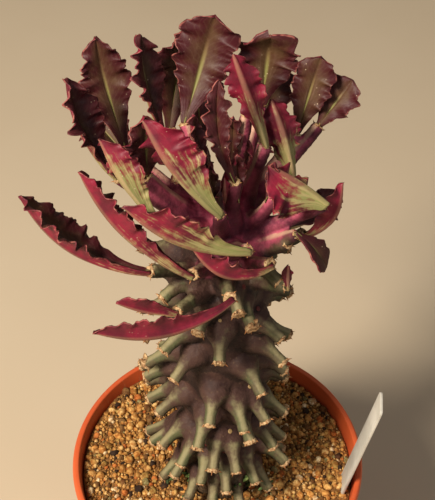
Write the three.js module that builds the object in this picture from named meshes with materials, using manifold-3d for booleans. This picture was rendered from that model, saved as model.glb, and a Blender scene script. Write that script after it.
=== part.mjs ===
// Potted Euphorbia schubei: a single upright stem set all round with long tubercles, a tuft of
// crisped leaves at its crown, standing in a grit-filled round plastic pot with a bare plant label.
// Millimetres, +Z up, origin at the centre of the pot's underside; -Y is the side the plant is seen
// from and +X is to its right.

import * as THREE from 'three';
import { mergeVertices } from 'three/addons/utils/BufferGeometryUtils.js';
import Module from 'manifold-3d';

const wasm = await Module();
wasm.setup();

// driving dimensions

// pot: an ordinary 9 cm round plant pot
const potRimRadius = 45;
const potHeight = 80;
const potBaseRadius = 31.5;
const potWall = 1.6;
const potFloor = 2;
const rimBand = 9;
const rimStep = 1.4;
const rimWall = 2;
const rimEdge = 0.6;
const potSides = 40;
const drainHoles = 8;
const drainRadius = 3;
const drainCircle = 27.5;
const drainSides = 10;

// soil: coarse grit filling the pot to just under the rim
const soilLevel = 74.6;
const soilHeap = 1.5;
const soilHeapWay = [-0.6, 0.8];
const soilRough = 0.9;
const soilGap = 0.35;
const soilHole = 11.8;
const soilHoleFoot = 46;
const soilRings = 6;
const soilSides = 40;
const pebbleCount = 34;
const pebbleSize = [2.2, 4];
const pebbleRing = [15, 38];
const pebbleRaise = 0.15;

// stem: core radius at each height, buried foot first
const stemStand = [1.2, 0];
const stemTop = 191;
const stemSides = 20;
const coreProfile = [
  [50, 4.5], [56, 8], [66, 10.4], [76, 11], [100, 11.6],
  [130, 11.4], [155, 10.8], [172, 9.8], [182, 7.6], [188, 4.6],
];

// tubercles: sections along the path from root to tip as [share of the way, half width, half depth]
const tubercleSections = [[0, 4.8, 5], [0.46, 4.3, 4], [0.7, 1.9, 2], [0.96, 2, 1.9]];
const tubercleSides = 5;
const rootDistance = 5;
const shoulderReach = 0.68;
const droopLow = 7.5;
const droopHigh = 2;
const goldenAngle = 137.508;
const spiralFoot = 83;
const spiralTop = 170;
const spiralRise = 1;
const tubercleReach = 20.5;
const shadeSideReach = 2.3;

// crown: the youngest tubercles, which carry the leaves, and the buds between them
const crownSize = 0.92;
const crownSag = 1.5;
const crownTipGap = 0.9;
const crownRootDistance = 4;
const crownRootLow = 163;
const crownRootClimb = 0.62;
const crownFoot = 171;
const budCount = 6;
const budSize = 0.34;
const budRing = 4.6;
const budTop = 195.5;

// stem facets closer to flat than this are merged
const stemSmoothing = 0.16;

// leaves: thickness of the blade, and its points from margin to margin
const bladeEdge = 0.85;
const bladeMiddle = 1.1;
const bladeFoot = 1.7;
const foldRoom = 1.3;
const footGap = 0.5;
const acrossBlade = [-1, -0.52, 0, 0.52, 1];
const stationLength = 2.1;

// leaf outline: share of the full width at the foot and the tip, where the blade is broadest
const footShare = 0.18;
const tipShare = 0.09;
const broadFrom = 0.62;
const closesFrom = 0.55;

// leaf margin: length of one crimp, height of the crimps and depth of the lobes
const crimpLength = 5.5;
const crimpHeight = 0.085;
const lobeDepth = 0.09;

// leaf fold: how much stronger it is at the foot and the midrib, and how much of that is lost
const foldAtFoot = 1.25;
const foldLostToTip = 0.4;
const foldAtMidrib = 1.25;
const foldLostToMargin = 0.5;

// colours and roughness of the surfaces
const finishes = {
  pot: [0xc0532a, 0.5],
  soil: [0xa8793f, 0.9],
  stem: [0x6f6a55, 0.6],
  label: [0xd8d4ca, 0.4],
  leaf: [0x7a2f3a, 0.45],
};

// label: a narrow white strip pushed into the grit near the rim
const labelWidth = 7.4;
const labelLength = 76;
const labelBuried = 27;
const labelThickness = 0.8;
const labelPoint = 9;
const labelPointHalf = 0.5;
const labelSlotGap = 0.35;
const labelStand = [39, -6.8, 75];
const labelLean = [0.13, -0.12, 0.985];
const labelWide = [0.07, 1, 0];

// leaf table
// foot: where the leaf sits [right, back, up]
// way: where the leaf points [heading, rise]; face: where its upper side looks [heading, rise]
// bow: how far the middle sags away from its upper side; fold: how far each half is folded up
// sway: sideways curve; hook: tip thrown forward (+) or back (-); twist: turn along its length
// blunt: 0 a pointed tip, 1 a broad blunt one; uneven: how much wider one half is than the other

const leafTable = [
  {
    name: 'leaf_01', foot: [-22.5, 8, 197], way: [123, 66], face: [-70, 25],
    length: 28.5, width: 12.5, bow: 3, fold: 22,
  },
  {
    name: 'leaf_02', foot: [-13.5, 11, 200], way: [124, 70], face: [-30, 25],
    length: 25, width: 11.5, bow: 2, fold: 35,
  },
  {
    name: 'leaf_03', foot: [-12, 19, 194], way: [66, 66], face: [-70, 25],
    length: 26.5, width: 15, bow: 2, fold: 30, twist: 40,
  },
  {
    name: 'leaf_04', foot: [-8, 13, 201], way: [54, 62], face: [-95, 25],
    length: 27.5, width: 15, bow: 3, fold: 18, blunt: 0.8,
  },
  {
    name: 'leaf_05', foot: [4, -7, 199.5], way: [120, 73], face: [-90, 20],
    length: 26, width: 7, bow: 0, fold: 45, sway: -2,
  },
  {
    name: 'leaf_06', foot: [11, 20, 201], way: [59, 80], face: [-95, 20],
    length: 20.5, width: 15.2, bow: 2, fold: 20, blunt: 1, hook: 3,
  },
  {
    name: 'leaf_07', foot: [11.5, 3, 202], way: [146, 66], face: [100, 10],
    length: 24, width: 10, bow: -1, fold: 50, hook: 2,
  },
  {
    name: 'leaf_08', foot: [18.5, 5, 190], way: [131, 65], face: [110, 0],
    length: 21.5, width: 11, bow: 3, fold: 45,
  },
  {
    name: 'leaf_09', foot: [25.5, -7, 192], way: [160, 28], face: [-90, -80],
    length: 17, width: 18, bow: 1, fold: 30, blunt: 0, uneven: 0.38,
  },
  {
    name: 'leaf_10', foot: [22, 0, 176], way: [12, 61], face: [120, 40],
    length: 18, width: 12, bow: 4, fold: 50,
  },
  {
    name: 'leaf_11', foot: [20, 17, 194.5], way: [42, 71], face: [-100, 20],
    length: 21.5, width: 10, bow: 0, fold: 20, blunt: 1,
  },
  {
    name: 'leaf_12', foot: [25.5, 18, 196], way: [20, 56], face: [-110, 40],
    length: 15, width: 10, bow: 0, fold: 20, blunt: 1,
  },
  {
    name: 'leaf_13', foot: [-23.5, -4, 198], way: [145, 61], face: [-20, 40],
    length: 27, width: 14, bow: 4, fold: 50,
  },
  {
    name: 'leaf_14', foot: [-14, -17, 197], way: [155, 55], face: [60, 20],
    length: 23.5, width: 13, bow: 2, fold: 50,
  },
  {
    name: 'leaf_15', foot: [-17, -2, 196.5], way: [71, 87], face: [-60, 20],
    length: 18, width: 11, bow: 0, fold: 20,
  },
  {
    name: 'leaf_16', foot: [0.5, -14, 195.5], way: [161, 52], face: [85, 30],
    length: 29.5, width: 17, bow: 3, fold: 45,
  },
  {
    name: 'leaf_17', foot: [7, -21.5, 191], way: [-175, 30], face: [85, 40],
    length: 32.5, width: 17, bow: 4, fold: 50,
  },
  {
    name: 'leaf_18', foot: [-6, -22, 183.5], way: [161, 43], face: [60, 50],
    length: 36.5, width: 14, bow: 4, fold: 50,
  },
  {
    name: 'leaf_19', foot: [-16.5, -16, 178.5], way: [165, 29], face: [40, 60],
    length: 36, width: 16, bow: 6, fold: 52,
  },
  {
    name: 'leaf_20', foot: [12.5, -18.5, 183.5], way: [-172, 26], face: [85, 45],
    length: 21.5, width: 11.5, bow: 5.5, fold: 50,
  },
  {
    name: 'leaf_21', foot: [-10, -22, 170.5], way: [-170, 24], face: [90, 60],
    length: 16, width: 9, bow: 1, fold: 45,
  },
  {
    name: 'leaf_22', foot: [3, -24, 177.5], way: [-160, 2], face: [75, 30],
    length: 34, width: 13, bow: 5, fold: 52,
  },
  {
    name: 'leaf_23', foot: [19, -10, 185], way: [-3, -55], face: [0, 60],
    length: 14, width: 7.5, bow: -1, fold: 25,
  },
  {
    name: 'leaf_24', foot: [17, -16, 173], way: [90, 70], face: [100, 10],
    length: 6.5, width: 3, bow: 0, fold: 30,
  },
  {
    name: 'leaf_25', foot: [10, 21, 188], way: [72, 40], face: [-110, 60],
    length: 26, width: 14, bow: 3, fold: 35,
  },
  {
    name: 'leaf_26', foot: [-4, 24, 184], way: [95, 32], face: [-80, 60],
    length: 27, width: 14, bow: 3, fold: 35,
  },
  {
    name: 'leaf_27', foot: [-19, 15, 184], way: [140, 30], face: [-60, 60],
    length: 25, width: 14, bow: 3, fold: 35,
  },
  {
    name: 'leaf_28', foot: [19, 12, 167], way: [38, 8], face: [-140, 70],
    length: 19, width: 12, bow: 3, fold: 35,
  },
  {
    name: 'leaf_29', foot: [7, 24, 171], way: [78, 10], face: [-100, 75],
    length: 24, width: 12, bow: 3, fold: 40,
  },
];

// crown tubercles that have already dropped their leaves: tip [right, back, up]
const bareTips = [[14, -4.5, 192], [17, -10, 182], [7, 9, 206.5]];

// old tubercles down the seen side of the stem: tip [turn, distance from the stem's axis, height]
const frontTips = [
  [-46, 20, 173], [-138, 20, 166], [-77, 18, 165], [-68, 20, 161], [-160, 20, 155], [-110, 18, 157],
  [-92, 20, 149], [-36, 19, 148], [-140, 20, 145], [-38, 20.5, 140], [-130, 20, 136], [-172, 21, 140],
  [-58, 20, 132], [-165, 21.5, 131], [-15, 18, 127], [-172, 21.5, 122], [-100, 20, 122], [-72, 20, 118],
  [-50, 19, 117], [-154, 20, 113], [-174, 21, 111], [-65, 19, 111], [-110, 20, 110], [-42, 20, 103],
  [-97, 20, 101], [-78, 20, 99.5], [-150, 20, 99], [-126, 20, 98], [-20, 19, 110], [-20, 19, 98],
  [-108, 20, 93], [-60, 20, 91], [-134, 20, 90], [-86, 20, 90], [-25, 21, 89], [-170, 21, 92],
  [-45, 20, 83], [-74, 20, 82], [-98, 20, 83.5], [-120, 20, 82], [-150, 20.5, 83],
];

const leafDefaults = { hook: 0, sway: 0, twist: 0, blunt: 0.3, uneven: 0 };

// small helpers

const toRadians = Math.PI / 180;

function directionOf([heading, rise]) {
  const a = heading * toRadians;
  const e = rise * toRadians;
  return new THREE.Vector3(Math.cos(a) * Math.cos(e), Math.sin(a) * Math.cos(e), Math.sin(e));
}

function around([turn, distance, height]) {
  const a = turn * toRadians;
  return new THREE.Vector3(distance * Math.cos(a), distance * Math.sin(a), height);
}

function smooth(from, to, x) {
  const t = Math.min(1, Math.max(0, (x - from) / (to - from)));
  return t * t * (3 - 2 * t);
}

// a repeatable run of numbers between 0 and 1
function seededRandom(seed) {
  let state = seed;
  return () => {
    state = (state * 1664525 + 1013904223) % 4294967296;
    return state / 4294967296;
  };
}

function indexedGeometry(points, triangles) {
  const flat = new Float32Array(points.length * 3);
  points.forEach((p, i) => p.toArray(flat, 3 * i));
  const geometry = new THREE.BufferGeometry();
  geometry.setAttribute('position', new THREE.BufferAttribute(flat, 3));
  geometry.setIndex(triangles);
  return geometry;
}

function toManifold(geometry) {
  const bare = geometry.clone();
  bare.deleteAttribute('normal');
  bare.deleteAttribute('uv');
  const joined = mergeVertices(bare, 1e-4);
  return new wasm.Manifold(new wasm.Mesh({
    numProp: 3,
    vertProperties: new Float32Array(joined.attributes.position.array),
    triVerts: new Uint32Array(joined.index.array),
  }));
}

function toGeometry(manifold) {
  const mesh = manifold.getMesh();
  const geometry = new THREE.BufferGeometry();
  geometry.setAttribute('position', new THREE.BufferAttribute(new Float32Array(mesh.vertProperties), 3));
  geometry.setIndex(Array.from(mesh.triVerts));
  return geometry;
}

function asNode(name, geometry, [colour, roughness]) {
  const faceted = geometry.index ? geometry.toNonIndexed() : geometry;
  faceted.computeVertexNormals();
  const material = new THREE.MeshStandardMaterial({ color: colour, roughness, metalness: 0 });
  const mesh = new THREE.Mesh(faceted, material);
  mesh.name = name;
  return mesh;
}

// rings of points, each ring the same length, closed at both ends by fans
function skinRings(rings, startPoint, endPoint) {
  const points = rings.flat();
  const sides = rings[0].length;
  const triangles = [];
  for (let i = 0; i < rings.length - 1; i += 1) {
    for (let j = 0; j < sides; j += 1) {
      const next = (j + 1) % sides;
      const a = i * sides + j;
      const b = i * sides + next;
      triangles.push(a, b, b + sides, a, b + sides, a + sides);
    }
  }
  const last = (rings.length - 1) * sides;
  const start = points.push(startPoint) - 1;
  const end = points.push(endPoint) - 1;
  for (let j = 0; j < sides; j += 1) {
    const next = (j + 1) % sides;
    triangles.push(start, next, j);
    triangles.push(end, last + j, last + next);
  }
  return indexedGeometry(points, triangles);
}

// leaves

function leafAxes(leaf) {
  const along = directionOf(leaf.way);
  const looks = directionOf(leaf.face);
  const up = looks.clone().addScaledVector(along, -looks.dot(along)).normalize();
  const side = new THREE.Vector3().crossVectors(along, up);
  return { along, up, side };
}

// half the blade's width at t, from the narrow foot past the broad upper third to the tip
function halfWidth(leaf, t) {
  const widening = footShare + (1 - footShare) * smooth(0, broadFrom, t);
  const sharpness = 1.5 + 3.5 * leaf.blunt;
  const closing = 1 - Math.max(0, (t - closesFrom) / (1 - closesFrom)) ** sharpness;
  return 0.5 * leaf.width * widening * Math.max(tipShare, Math.max(0, closing) ** 0.8);
}

function midrib(leaf, axes, root, t) {
  const arch = 4 * t * (1 - t);
  const thrown = Math.max(0, (t - 0.7) / 0.3) ** 2;
  return root.clone()
    .addScaledVector(axes.along, leaf.length * t)
    .addScaledVector(axes.up, -leaf.bow * arch + leaf.hook * thrown)
    .addScaledVector(axes.side, leaf.sway * arch);
}

function thickness(t, away) {
  const middle = THREE.MathUtils.lerp(bladeMiddle, bladeFoot, (1 - t) ** 2);
  return THREE.MathUtils.lerp(middle, bladeEdge, away);
}

// how far a half is folded up from flat: most near the midrib and the foot, and never so far
// that the thick halves would run into each other where the blade is narrow
function foldAngle(leaf, t, s) {
  const lengthwise = foldAtFoot - foldLostToTip * smooth(0.1, 0.8, t);
  const crosswise = foldAtMidrib - foldLostToMargin * Math.abs(s);
  const wanted = leaf.fold * toRadians * lengthwise * crosswise;
  const half = halfWidth(leaf, t) * (1 + Math.sign(s) * leaf.uneven);
  return Math.min(wanted, Math.atan(half / (foldRoom * thickness(t, 0))));
}

// height of the crimps at a point of the blade, rising towards the margin
function crimp(leaf, t, away, phase) {
  const beat = 2 * Math.PI * leaf.waves * t;
  const swell = crimpHeight * leaf.width * smooth(0.15, 0.45, t) * (1 - 0.4 * smooth(0.85, 1, t));
  return swell * away ** 2.5 * (Math.sin(beat + phase) + 0.5 * Math.sin(1.63 * beat + 1.35 * phase));
}

// a point of the blade's middle surface and the way its upper side looks there, crimps aside:
// t runs from foot to tip, s from margin to margin
function bladePoint(leaf, axes, root, t, s) {
  const step = 0.001;
  const tangent = midrib(leaf, axes, root, t + step).sub(midrib(leaf, axes, root, t - step)).normalize();
  const flatSide = new THREE.Vector3().crossVectors(tangent, axes.up).normalize();
  const flatUp = new THREE.Vector3().crossVectors(flatSide, tangent);
  const turn = leaf.twist * (t - 0.4) * toRadians;
  const up = flatUp.clone().multiplyScalar(Math.cos(turn)).addScaledVector(flatSide, Math.sin(turn));
  const side = flatSide.clone().multiplyScalar(Math.cos(turn)).addScaledVector(flatUp, -Math.sin(turn));
  const away = Math.abs(s);
  const hand = Math.sign(s);
  const phase = 1.7 * leaf.seed + (s < 0 ? 0 : 2.1);
  const fold = s === 0 ? 0 : foldAngle(leaf, t, s);
  const lobing = Math.sin(2.6 * Math.PI * leaf.waves * t + 0.65 * phase);
  const lobes = 1 + lobeDepth * away ** 2 * smooth(0.2, 0.5, t) * lobing;
  const reach = away * halfWidth(leaf, t) * lobes * (1 + hand * leaf.uneven);
  const facing = up.clone().multiplyScalar(Math.cos(fold)).addScaledVector(side, -hand * Math.sin(fold));
  const point = midrib(leaf, axes, root, t)
    .addScaledVector(side, hand * reach * Math.cos(fold))
    .addScaledVector(up, reach * Math.sin(fold))
    .addScaledVector(facing, crimp(leaf, t, away, phase));
  return { point, facing };
}

function leafGeometry(leaf) {
  const axes = leafAxes(leaf);
  const root = new THREE.Vector3(...leaf.foot).addScaledVector(axes.along, footGap);
  const across = acrossBlade.length;
  const points = [];
  for (const faceSign of [1, -1]) {
    for (let i = 0; i <= leaf.stations; i += 1) {
      const t = i / leaf.stations;
      for (const s of acrossBlade) {
        const { point, facing } = bladePoint(leaf, axes, root, t, s);
        points.push(point.addScaledVector(facing, faceSign * thickness(t, Math.abs(s)) / 2));
      }
    }
  }
  const under = (leaf.stations + 1) * across;
  const triangles = [];
  for (let i = 0; i < leaf.stations; i += 1) {
    const row = i * across;
    for (let j = 0; j < across - 1; j += 1) {
      const a = row + j;
      const b = a + 1;
      const c = b + across;
      const d = a + across;
      const corners = (i + j) % 2 ? [a, b, c, a, c, d] : [a, b, d, b, c, d];
      triangles.push(...corners);
      for (let k = 0; k < 6; k += 3) {
        triangles.push(under + corners[k], under + corners[k + 2], under + corners[k + 1]);
      }
    }
    const left = row;
    const right = row + across - 1;
    triangles.push(left, left + across, under + left + across);
    triangles.push(left, under + left + across, under + left);
    triangles.push(right, under + right, under + right + across);
    triangles.push(right, under + right + across, right + across);
  }
  const tip = leaf.stations * across;
  for (let j = 0; j < across - 1; j += 1) {
    triangles.push(j, under + j, under + j + 1);
    triangles.push(j, under + j + 1, j + 1);
    const e = tip + j;
    triangles.push(e, e + 1, under + e + 1);
    triangles.push(e, under + e + 1, under + e);
  }
  return indexedGeometry(points, triangles);
}

// stem

function stemAxis(height) {
  return new THREE.Vector3(stemStand[0], stemStand[1], height);
}

function coreGeometry() {
  const rings = coreProfile.map(([height, radius]) => {
    const ring = [];
    for (let j = 0; j < stemSides; j += 1) {
      ring.push(around([360 * j / stemSides, radius, height]).add(stemAxis(0)));
    }
    return ring;
  });
  return skinRings(rings, stemAxis(coreProfile[0][0] - 2), stemAxis(stemTop));
}

// one tubercle: a broad shoulder out of the core, narrowing to a finger with a blunt flared end
function tubercleGeometry(root, bend, tip, size) {
  const path = new THREE.QuadraticBezierCurve3(root, bend, tip);
  const rings = tubercleSections.map(([u, halfAcross, halfDeep]) => {
    const centre = path.getPoint(u);
    const along = path.getTangent(u);
    const side = new THREE.Vector3().crossVectors(along, new THREE.Vector3(0, 0, 1)).normalize();
    const up = new THREE.Vector3().crossVectors(side, along);
    const ring = [];
    for (let j = 0; j < tubercleSides; j += 1) {
      const turn = 2 * Math.PI * j / tubercleSides;
      ring.push(centre.clone()
        .addScaledVector(up, size * halfDeep * Math.cos(turn))
        .addScaledVector(side, size * halfAcross * Math.sin(turn)));
    }
    return ring;
  });
  return skinRings(rings, root, tip);
}

// tips of the tubercles on the far side, in one spiral a golden angle apart
function backTips() {
  const tips = [];
  for (let height = spiralFoot, turn = 0; height < spiralTop; height += spiralRise, turn -= goldenAngle) {
    const onBack = Math.sin((turn + 4) * toRadians) > 0;
    if (onBack) {
      tips.push([turn, tubercleReach - shadeSideReach * Math.cos(turn * toRadians), height]);
    }
  }
  return tips;
}

// an old tubercle leaves the core level and droops to its scarred tip, more so low on the stem
function oldTubercle([turn, reach, height]) {
  const climb = (height - spiralFoot) / (spiralTop - spiralFoot);
  const shoulderHeight = height + THREE.MathUtils.lerp(droopLow, droopHigh, climb);
  const root = around([turn, rootDistance, shoulderHeight]).add(stemAxis(0));
  const bend = around([turn, shoulderReach * reach, shoulderHeight]).add(stemAxis(0));
  const tip = around([turn, reach, height]).add(stemAxis(0));
  return tubercleGeometry(root, bend, tip, 1);
}

// a crown tubercle rises from the upper core to just short of its leaf's foot
function crownTubercle(foot) {
  const tip = new THREE.Vector3(...foot);
  const turn = Math.atan2(tip.y - stemStand[1], tip.x - stemStand[0]) / toRadians;
  const rootHeight = crownRootLow + crownRootClimb * (tip.z - crownFoot);
  const root = around([turn, crownRootDistance, rootHeight]).add(stemAxis(0));
  tip.addScaledVector(tip.clone().sub(root).normalize(), -crownTipGap);
  const bend = root.clone().lerp(tip, 0.5);
  bend.z -= crownSag;
  return tubercleGeometry(root, bend, tip, crownSize);
}

// a bud: a tubercle just starting, upright round the growing point
function apexBud(index) {
  const turn = index * goldenAngle;
  const root = stemAxis(stemTop - 6);
  const bend = around([turn, budRing / 2, stemTop]).add(stemAxis(0));
  const tip = around([turn, budRing, budTop]).add(stemAxis(0));
  return tubercleGeometry(root, bend, tip, budSize);
}

function stemGeometry() {
  const pieces = [...frontTips, ...backTips()].map(oldTubercle);
  pieces.push(...leafTable.map((leaf) => crownTubercle(leaf.foot)));
  pieces.push(...bareTips.map(crownTubercle));
  for (let index = 0; index < budCount; index += 1) {
    pieces.push(apexBud(index));
  }
  let body = toManifold(coreGeometry());
  for (const piece of pieces) {
    body = body.add(toManifold(piece));
  }
  return toGeometry(body.asOriginal().simplify(stemSmoothing));
}

// pot

function potGeometry() {
  const bandFoot = potHeight - rimBand;
  const wallTop = potRimRadius - rimStep;
  const profile = [
    [0, 0], [potBaseRadius, 0], [wallTop, bandFoot], [potRimRadius - rimEdge, bandFoot],
    [potRimRadius, potHeight - 1], [potRimRadius - rimEdge, potHeight], [potRimRadius - rimWall, potHeight],
    [potInside(bandFoot - 2), bandFoot - 2], [potInside(potFloor), potFloor], [0, potFloor],
  ];
  const shell = new THREE.LatheGeometry(profile.map(([r, z]) => new THREE.Vector2(r, z)), potSides);
  shell.rotateX(Math.PI / 2);
  let body = toManifold(shell);
  for (let k = 0; k < drainHoles; k += 1) {
    const hole = new THREE.CylinderGeometry(drainRadius, drainRadius, 4 * potFloor, drainSides);
    hole.rotateX(Math.PI / 2);
    const at = around([360 * (k + 0.5) / drainHoles, drainCircle, potFloor / 2]);
    hole.translate(at.x, at.y, at.z);
    body = body.subtract(toManifold(hole));
  }
  return toGeometry(body);
}

// soil

function potInside(height) {
  const slope = (potRimRadius - rimStep - potBaseRadius) / (potHeight - rimBand);
  return potBaseRadius + slope * height - potWall;
}

function soilTop(x, y, random) {
  const heap = soilHeap * (soilHeapWay[0] * x + soilHeapWay[1] * y) / potRimRadius;
  return soilLevel + heap + soilRough * (random() - 0.5);
}

function soilGeometry() {
  const random = seededRandom(11);
  const bottom = potFloor + soilGap;
  const outer = potInside(soilLevel) - 2 * soilGap;
  const ringAt = (radius, height) => {
    const ring = [];
    for (let j = 0; j < soilSides; j += 1) {
      ring.push(around([360 * j / soilSides, radius, height]));
    }
    return ring;
  };
  const rings = [ringAt(potInside(bottom) - soilGap, bottom)];
  for (let i = 0; i <= soilRings; i += 1) {
    const radius = THREE.MathUtils.lerp(outer, soilHole, i / soilRings);
    const ring = ringAt(radius, 0);
    for (const p of ring) {
      p.z = soilTop(p.x, p.y, random);
    }
    rings.push(ring);
  }
  rings.push(ringAt(soilHole, soilHoleFoot));
  for (const ring of rings.slice(-2)) {
    ring.forEach((p) => p.add(stemAxis(0)));
  }
  return skinRings(rings, around([0, 0, bottom]), stemAxis(soilHoleFoot));
}

function pebbleGeometry(random) {
  const size = THREE.MathUtils.lerp(...pebbleSize, random()) / 2;
  const pebble = new THREE.IcosahedronGeometry(size, 0);
  pebble.scale(0.75 + 0.5 * random(), 0.75 + 0.5 * random(), 0.7);
  pebble.rotateZ(6 * random());
  const distance = THREE.MathUtils.lerp(...pebbleRing, Math.sqrt(random()));
  const at = around([360 * random(), distance, 0]);
  pebble.translate(at.x, at.y, soilTop(at.x, at.y, () => 0.5) + pebbleRaise * size);
  return pebble;
}

function soilWithPebbles() {
  const random = seededRandom(5);
  let body = toManifold(soilGeometry());
  for (let k = 0; k < pebbleCount; k += 1) {
    body = body.add(toManifold(pebbleGeometry(random)));
  }
  return toGeometry(body.subtract(toManifold(labelGeometry(labelSlotGap))));
}

// label

// a flat strip with a pointed foot; spare widens it all round to make the slot it stands in
function labelGeometry(spare) {
  const half = labelWidth / 2 + spare;
  const top = labelLength - labelBuried + spare;
  const foot = -labelBuried - spare;
  const outline = new THREE.Shape([
    new THREE.Vector2(-half, foot + labelPoint),
    new THREE.Vector2(-labelPointHalf, foot),
    new THREE.Vector2(labelPointHalf, foot),
    new THREE.Vector2(half, foot + labelPoint),
    new THREE.Vector2(half, top),
    new THREE.Vector2(-half, top),
  ]);
  const depth = labelThickness + 2 * spare;
  const strip = new THREE.ExtrudeGeometry(outline, { depth, bevelEnabled: false });
  strip.translate(0, 0, -depth / 2);
  const long = new THREE.Vector3(...labelLean).normalize();
  const across = new THREE.Vector3(...labelWide);
  const wide = across.addScaledVector(long, -across.dot(long)).normalize();
  const turn = new THREE.Matrix4().makeBasis(wide, long, new THREE.Vector3().crossVectors(wide, long));
  strip.applyMatrix4(turn);
  strip.translate(...labelStand);
  return strip;
}

// build

const group = new THREE.Group();
group.name = 'potted_euphorbia_schubei';
group.add(asNode('pot', potGeometry(), finishes.pot));
group.add(asNode('soil', soilWithPebbles(), finishes.soil));
group.add(asNode('stem', stemGeometry(), finishes.stem));
group.add(asNode('label', labelGeometry(0), finishes.label));
leafTable.forEach((entry, i) => {
  const waves = Math.round(entry.length / crimpLength);
  const stations = Math.round(entry.length / stationLength);
  const leaf = { ...leafDefaults, ...entry, seed: i + 1, waves, stations };
  group.add(asNode(leaf.name, leafGeometry(leaf), finishes.leaf));
});

export default group;
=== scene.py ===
import math
import random

import bmesh
import bpy
import numpy as np
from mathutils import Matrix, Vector, kdtree, noise


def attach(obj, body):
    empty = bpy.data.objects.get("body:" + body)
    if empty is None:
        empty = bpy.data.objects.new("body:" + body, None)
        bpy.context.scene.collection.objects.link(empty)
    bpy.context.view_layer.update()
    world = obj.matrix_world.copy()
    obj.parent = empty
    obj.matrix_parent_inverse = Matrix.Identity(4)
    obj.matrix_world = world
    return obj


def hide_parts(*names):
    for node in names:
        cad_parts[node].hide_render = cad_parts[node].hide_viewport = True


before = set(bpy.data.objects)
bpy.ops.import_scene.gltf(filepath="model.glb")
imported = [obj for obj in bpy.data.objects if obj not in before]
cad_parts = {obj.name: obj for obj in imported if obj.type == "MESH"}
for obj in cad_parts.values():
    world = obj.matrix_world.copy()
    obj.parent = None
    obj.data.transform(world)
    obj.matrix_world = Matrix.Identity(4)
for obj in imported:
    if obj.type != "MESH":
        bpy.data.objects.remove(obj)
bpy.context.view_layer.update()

# Potted Euphorbia schubei: finish for the pot, grit, stem, leaves and label.
# Sizes are in millimetres and are turned into metres where a mesh is made; +Z up, -Y is the seen side.

scene = bpy.context.scene
mm = 0.001
goldenAngle = 137.508
print("frame loaded:", len(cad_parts), "nodes")


# small helpers

def smooth(low, high, x):
    t = np.clip((np.asarray(x, float) - low) / (high - low), 0, 1)
    return t * t * (3 - 2 * t)


def mix(a, b, t):
    return a + (b - a) * t


def heading(turn, rise):
    a = math.radians(turn)
    e = math.radians(rise)
    return np.array([math.cos(a) * math.cos(e), math.sin(a) * math.cos(e), math.sin(e)])


def around(turn, distance, height):
    a = math.radians(turn)
    return np.array([distance * math.cos(a), distance * math.sin(a), height])


def unit(v):
    return v / np.maximum(np.linalg.norm(v, axis=-1, keepdims=True), 1e-9)


def colour(red, green, blue):
    # a screen colour 0-255 as the linear colour a shader wants
    def linear(c):
        c = c / 255
        return c / 12.92 if c <= 0.04045 else ((c + 0.055) / 1.055) ** 2.4
    return (linear(red), linear(green), linear(blue), 1)


def linked(name, data):
    # a new object in the scene
    made = bpy.data.objects.new(name, data)
    scene.collection.objects.link(made)
    return made


def shadeSmooth(mesh):
    mesh.polygons.foreach_set("use_smooth", [True] * len(mesh.polygons))


def writeAttribute(mesh, name, values):
    # one number, or one direction, for each point
    values = np.asarray(values, np.float32)
    kind, field = ("FLOAT", "value") if values.ndim == 1 else ("FLOAT_VECTOR", "vector")
    mesh.attributes.new(name, kind, "POINT").data.foreach_set(field, values.ravel())


def makeObject(name, points, faces, attributes=None, uv=None):
    # points in mm; attributes: name -> one value for each point; uv: one pair for each point
    mesh = bpy.data.meshes.new(name)
    mesh.from_pydata([tuple(p) for p in np.asarray(points) * mm], [], [tuple(f) for f in faces])
    mesh.validate()
    shadeSmooth(mesh)
    for label, values in (attributes or {}).items():
        writeAttribute(mesh, label, values)
    if uv is not None:
        layer = mesh.uv_layers.new(name="UVMap")
        corner = np.empty(len(mesh.loops), np.int32)
        mesh.loops.foreach_get("vertex_index", corner)
        layer.data.foreach_set("uv", np.asarray(uv, np.float32)[corner].ravel())
    mesh.update()
    return linked(name, mesh)


def ringPoints(sides, distance, height):
    return [around(360 * j / sides, distance, height) for j in range(sides)]


def ringFaces(rows, sides, first=0):
    # quads between rings of points that follow each other
    faces = []
    for i in range(rows - 1):
        for j in range(sides):
            k = (j + 1) % sides
            a = first + i * sides
            faces.append((a + j, a + k, a + sides + k, a + sides + j))
    return faces


def tubeFaces(rows, sides):
    # rings closed by a flat face at each end
    last = (rows - 1) * sides
    ends = [tuple(reversed(range(sides))), tuple(range(last, last + sides))]
    return ringFaces(rows, sides) + ends


def poleFaces(rows, sides):
    # rings closed by fans to the two points that follow them: the first ring's, then the last ring's
    faces = ringFaces(rows, sides)
    pole = rows * sides
    last = pole - sides
    for j in range(sides):
        k = (j + 1) % sides
        faces.append((pole, k, j))
        faces.append((pole + 1, last + j, last + k))
    return faces


def sheetFaces(rows, columns):
    # a grid of points, the same grid under it, and the edge between the two
    under = rows * columns
    faces = []
    for i in range(rows - 1):
        for j in range(columns - 1):
            a = i * columns + j
            faces.append((a, a + 1, a + columns + 1, a + columns))
            faces.append((under + a, under + a + columns, under + a + columns + 1, under + a + 1))
        a = i * columns
        faces.append((a, a + columns, under + a + columns, under + a))
        a = a + columns - 1
        faces.append((a, under + a, under + a + columns, a + columns))
    for j in range(columns - 1):
        faces.append((j, under + j, under + j + 1, j + 1))
        e = (rows - 1) * columns + j
        faces.append((e, e + 1, under + e + 1, under + e))
    return faces


def applied(obj):
    # the object as its modifiers show it, as a plain mesh, with the modifiers gone
    graph = bpy.context.evaluated_depsgraph_get()
    graph.update()
    shown = obj.evaluated_get(graph)
    mesh = bpy.data.meshes.new_from_object(shown, preserve_all_data_layers=True, depsgraph=graph)
    obj.modifiers.clear()
    obj.data = mesh
    return obj


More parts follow.
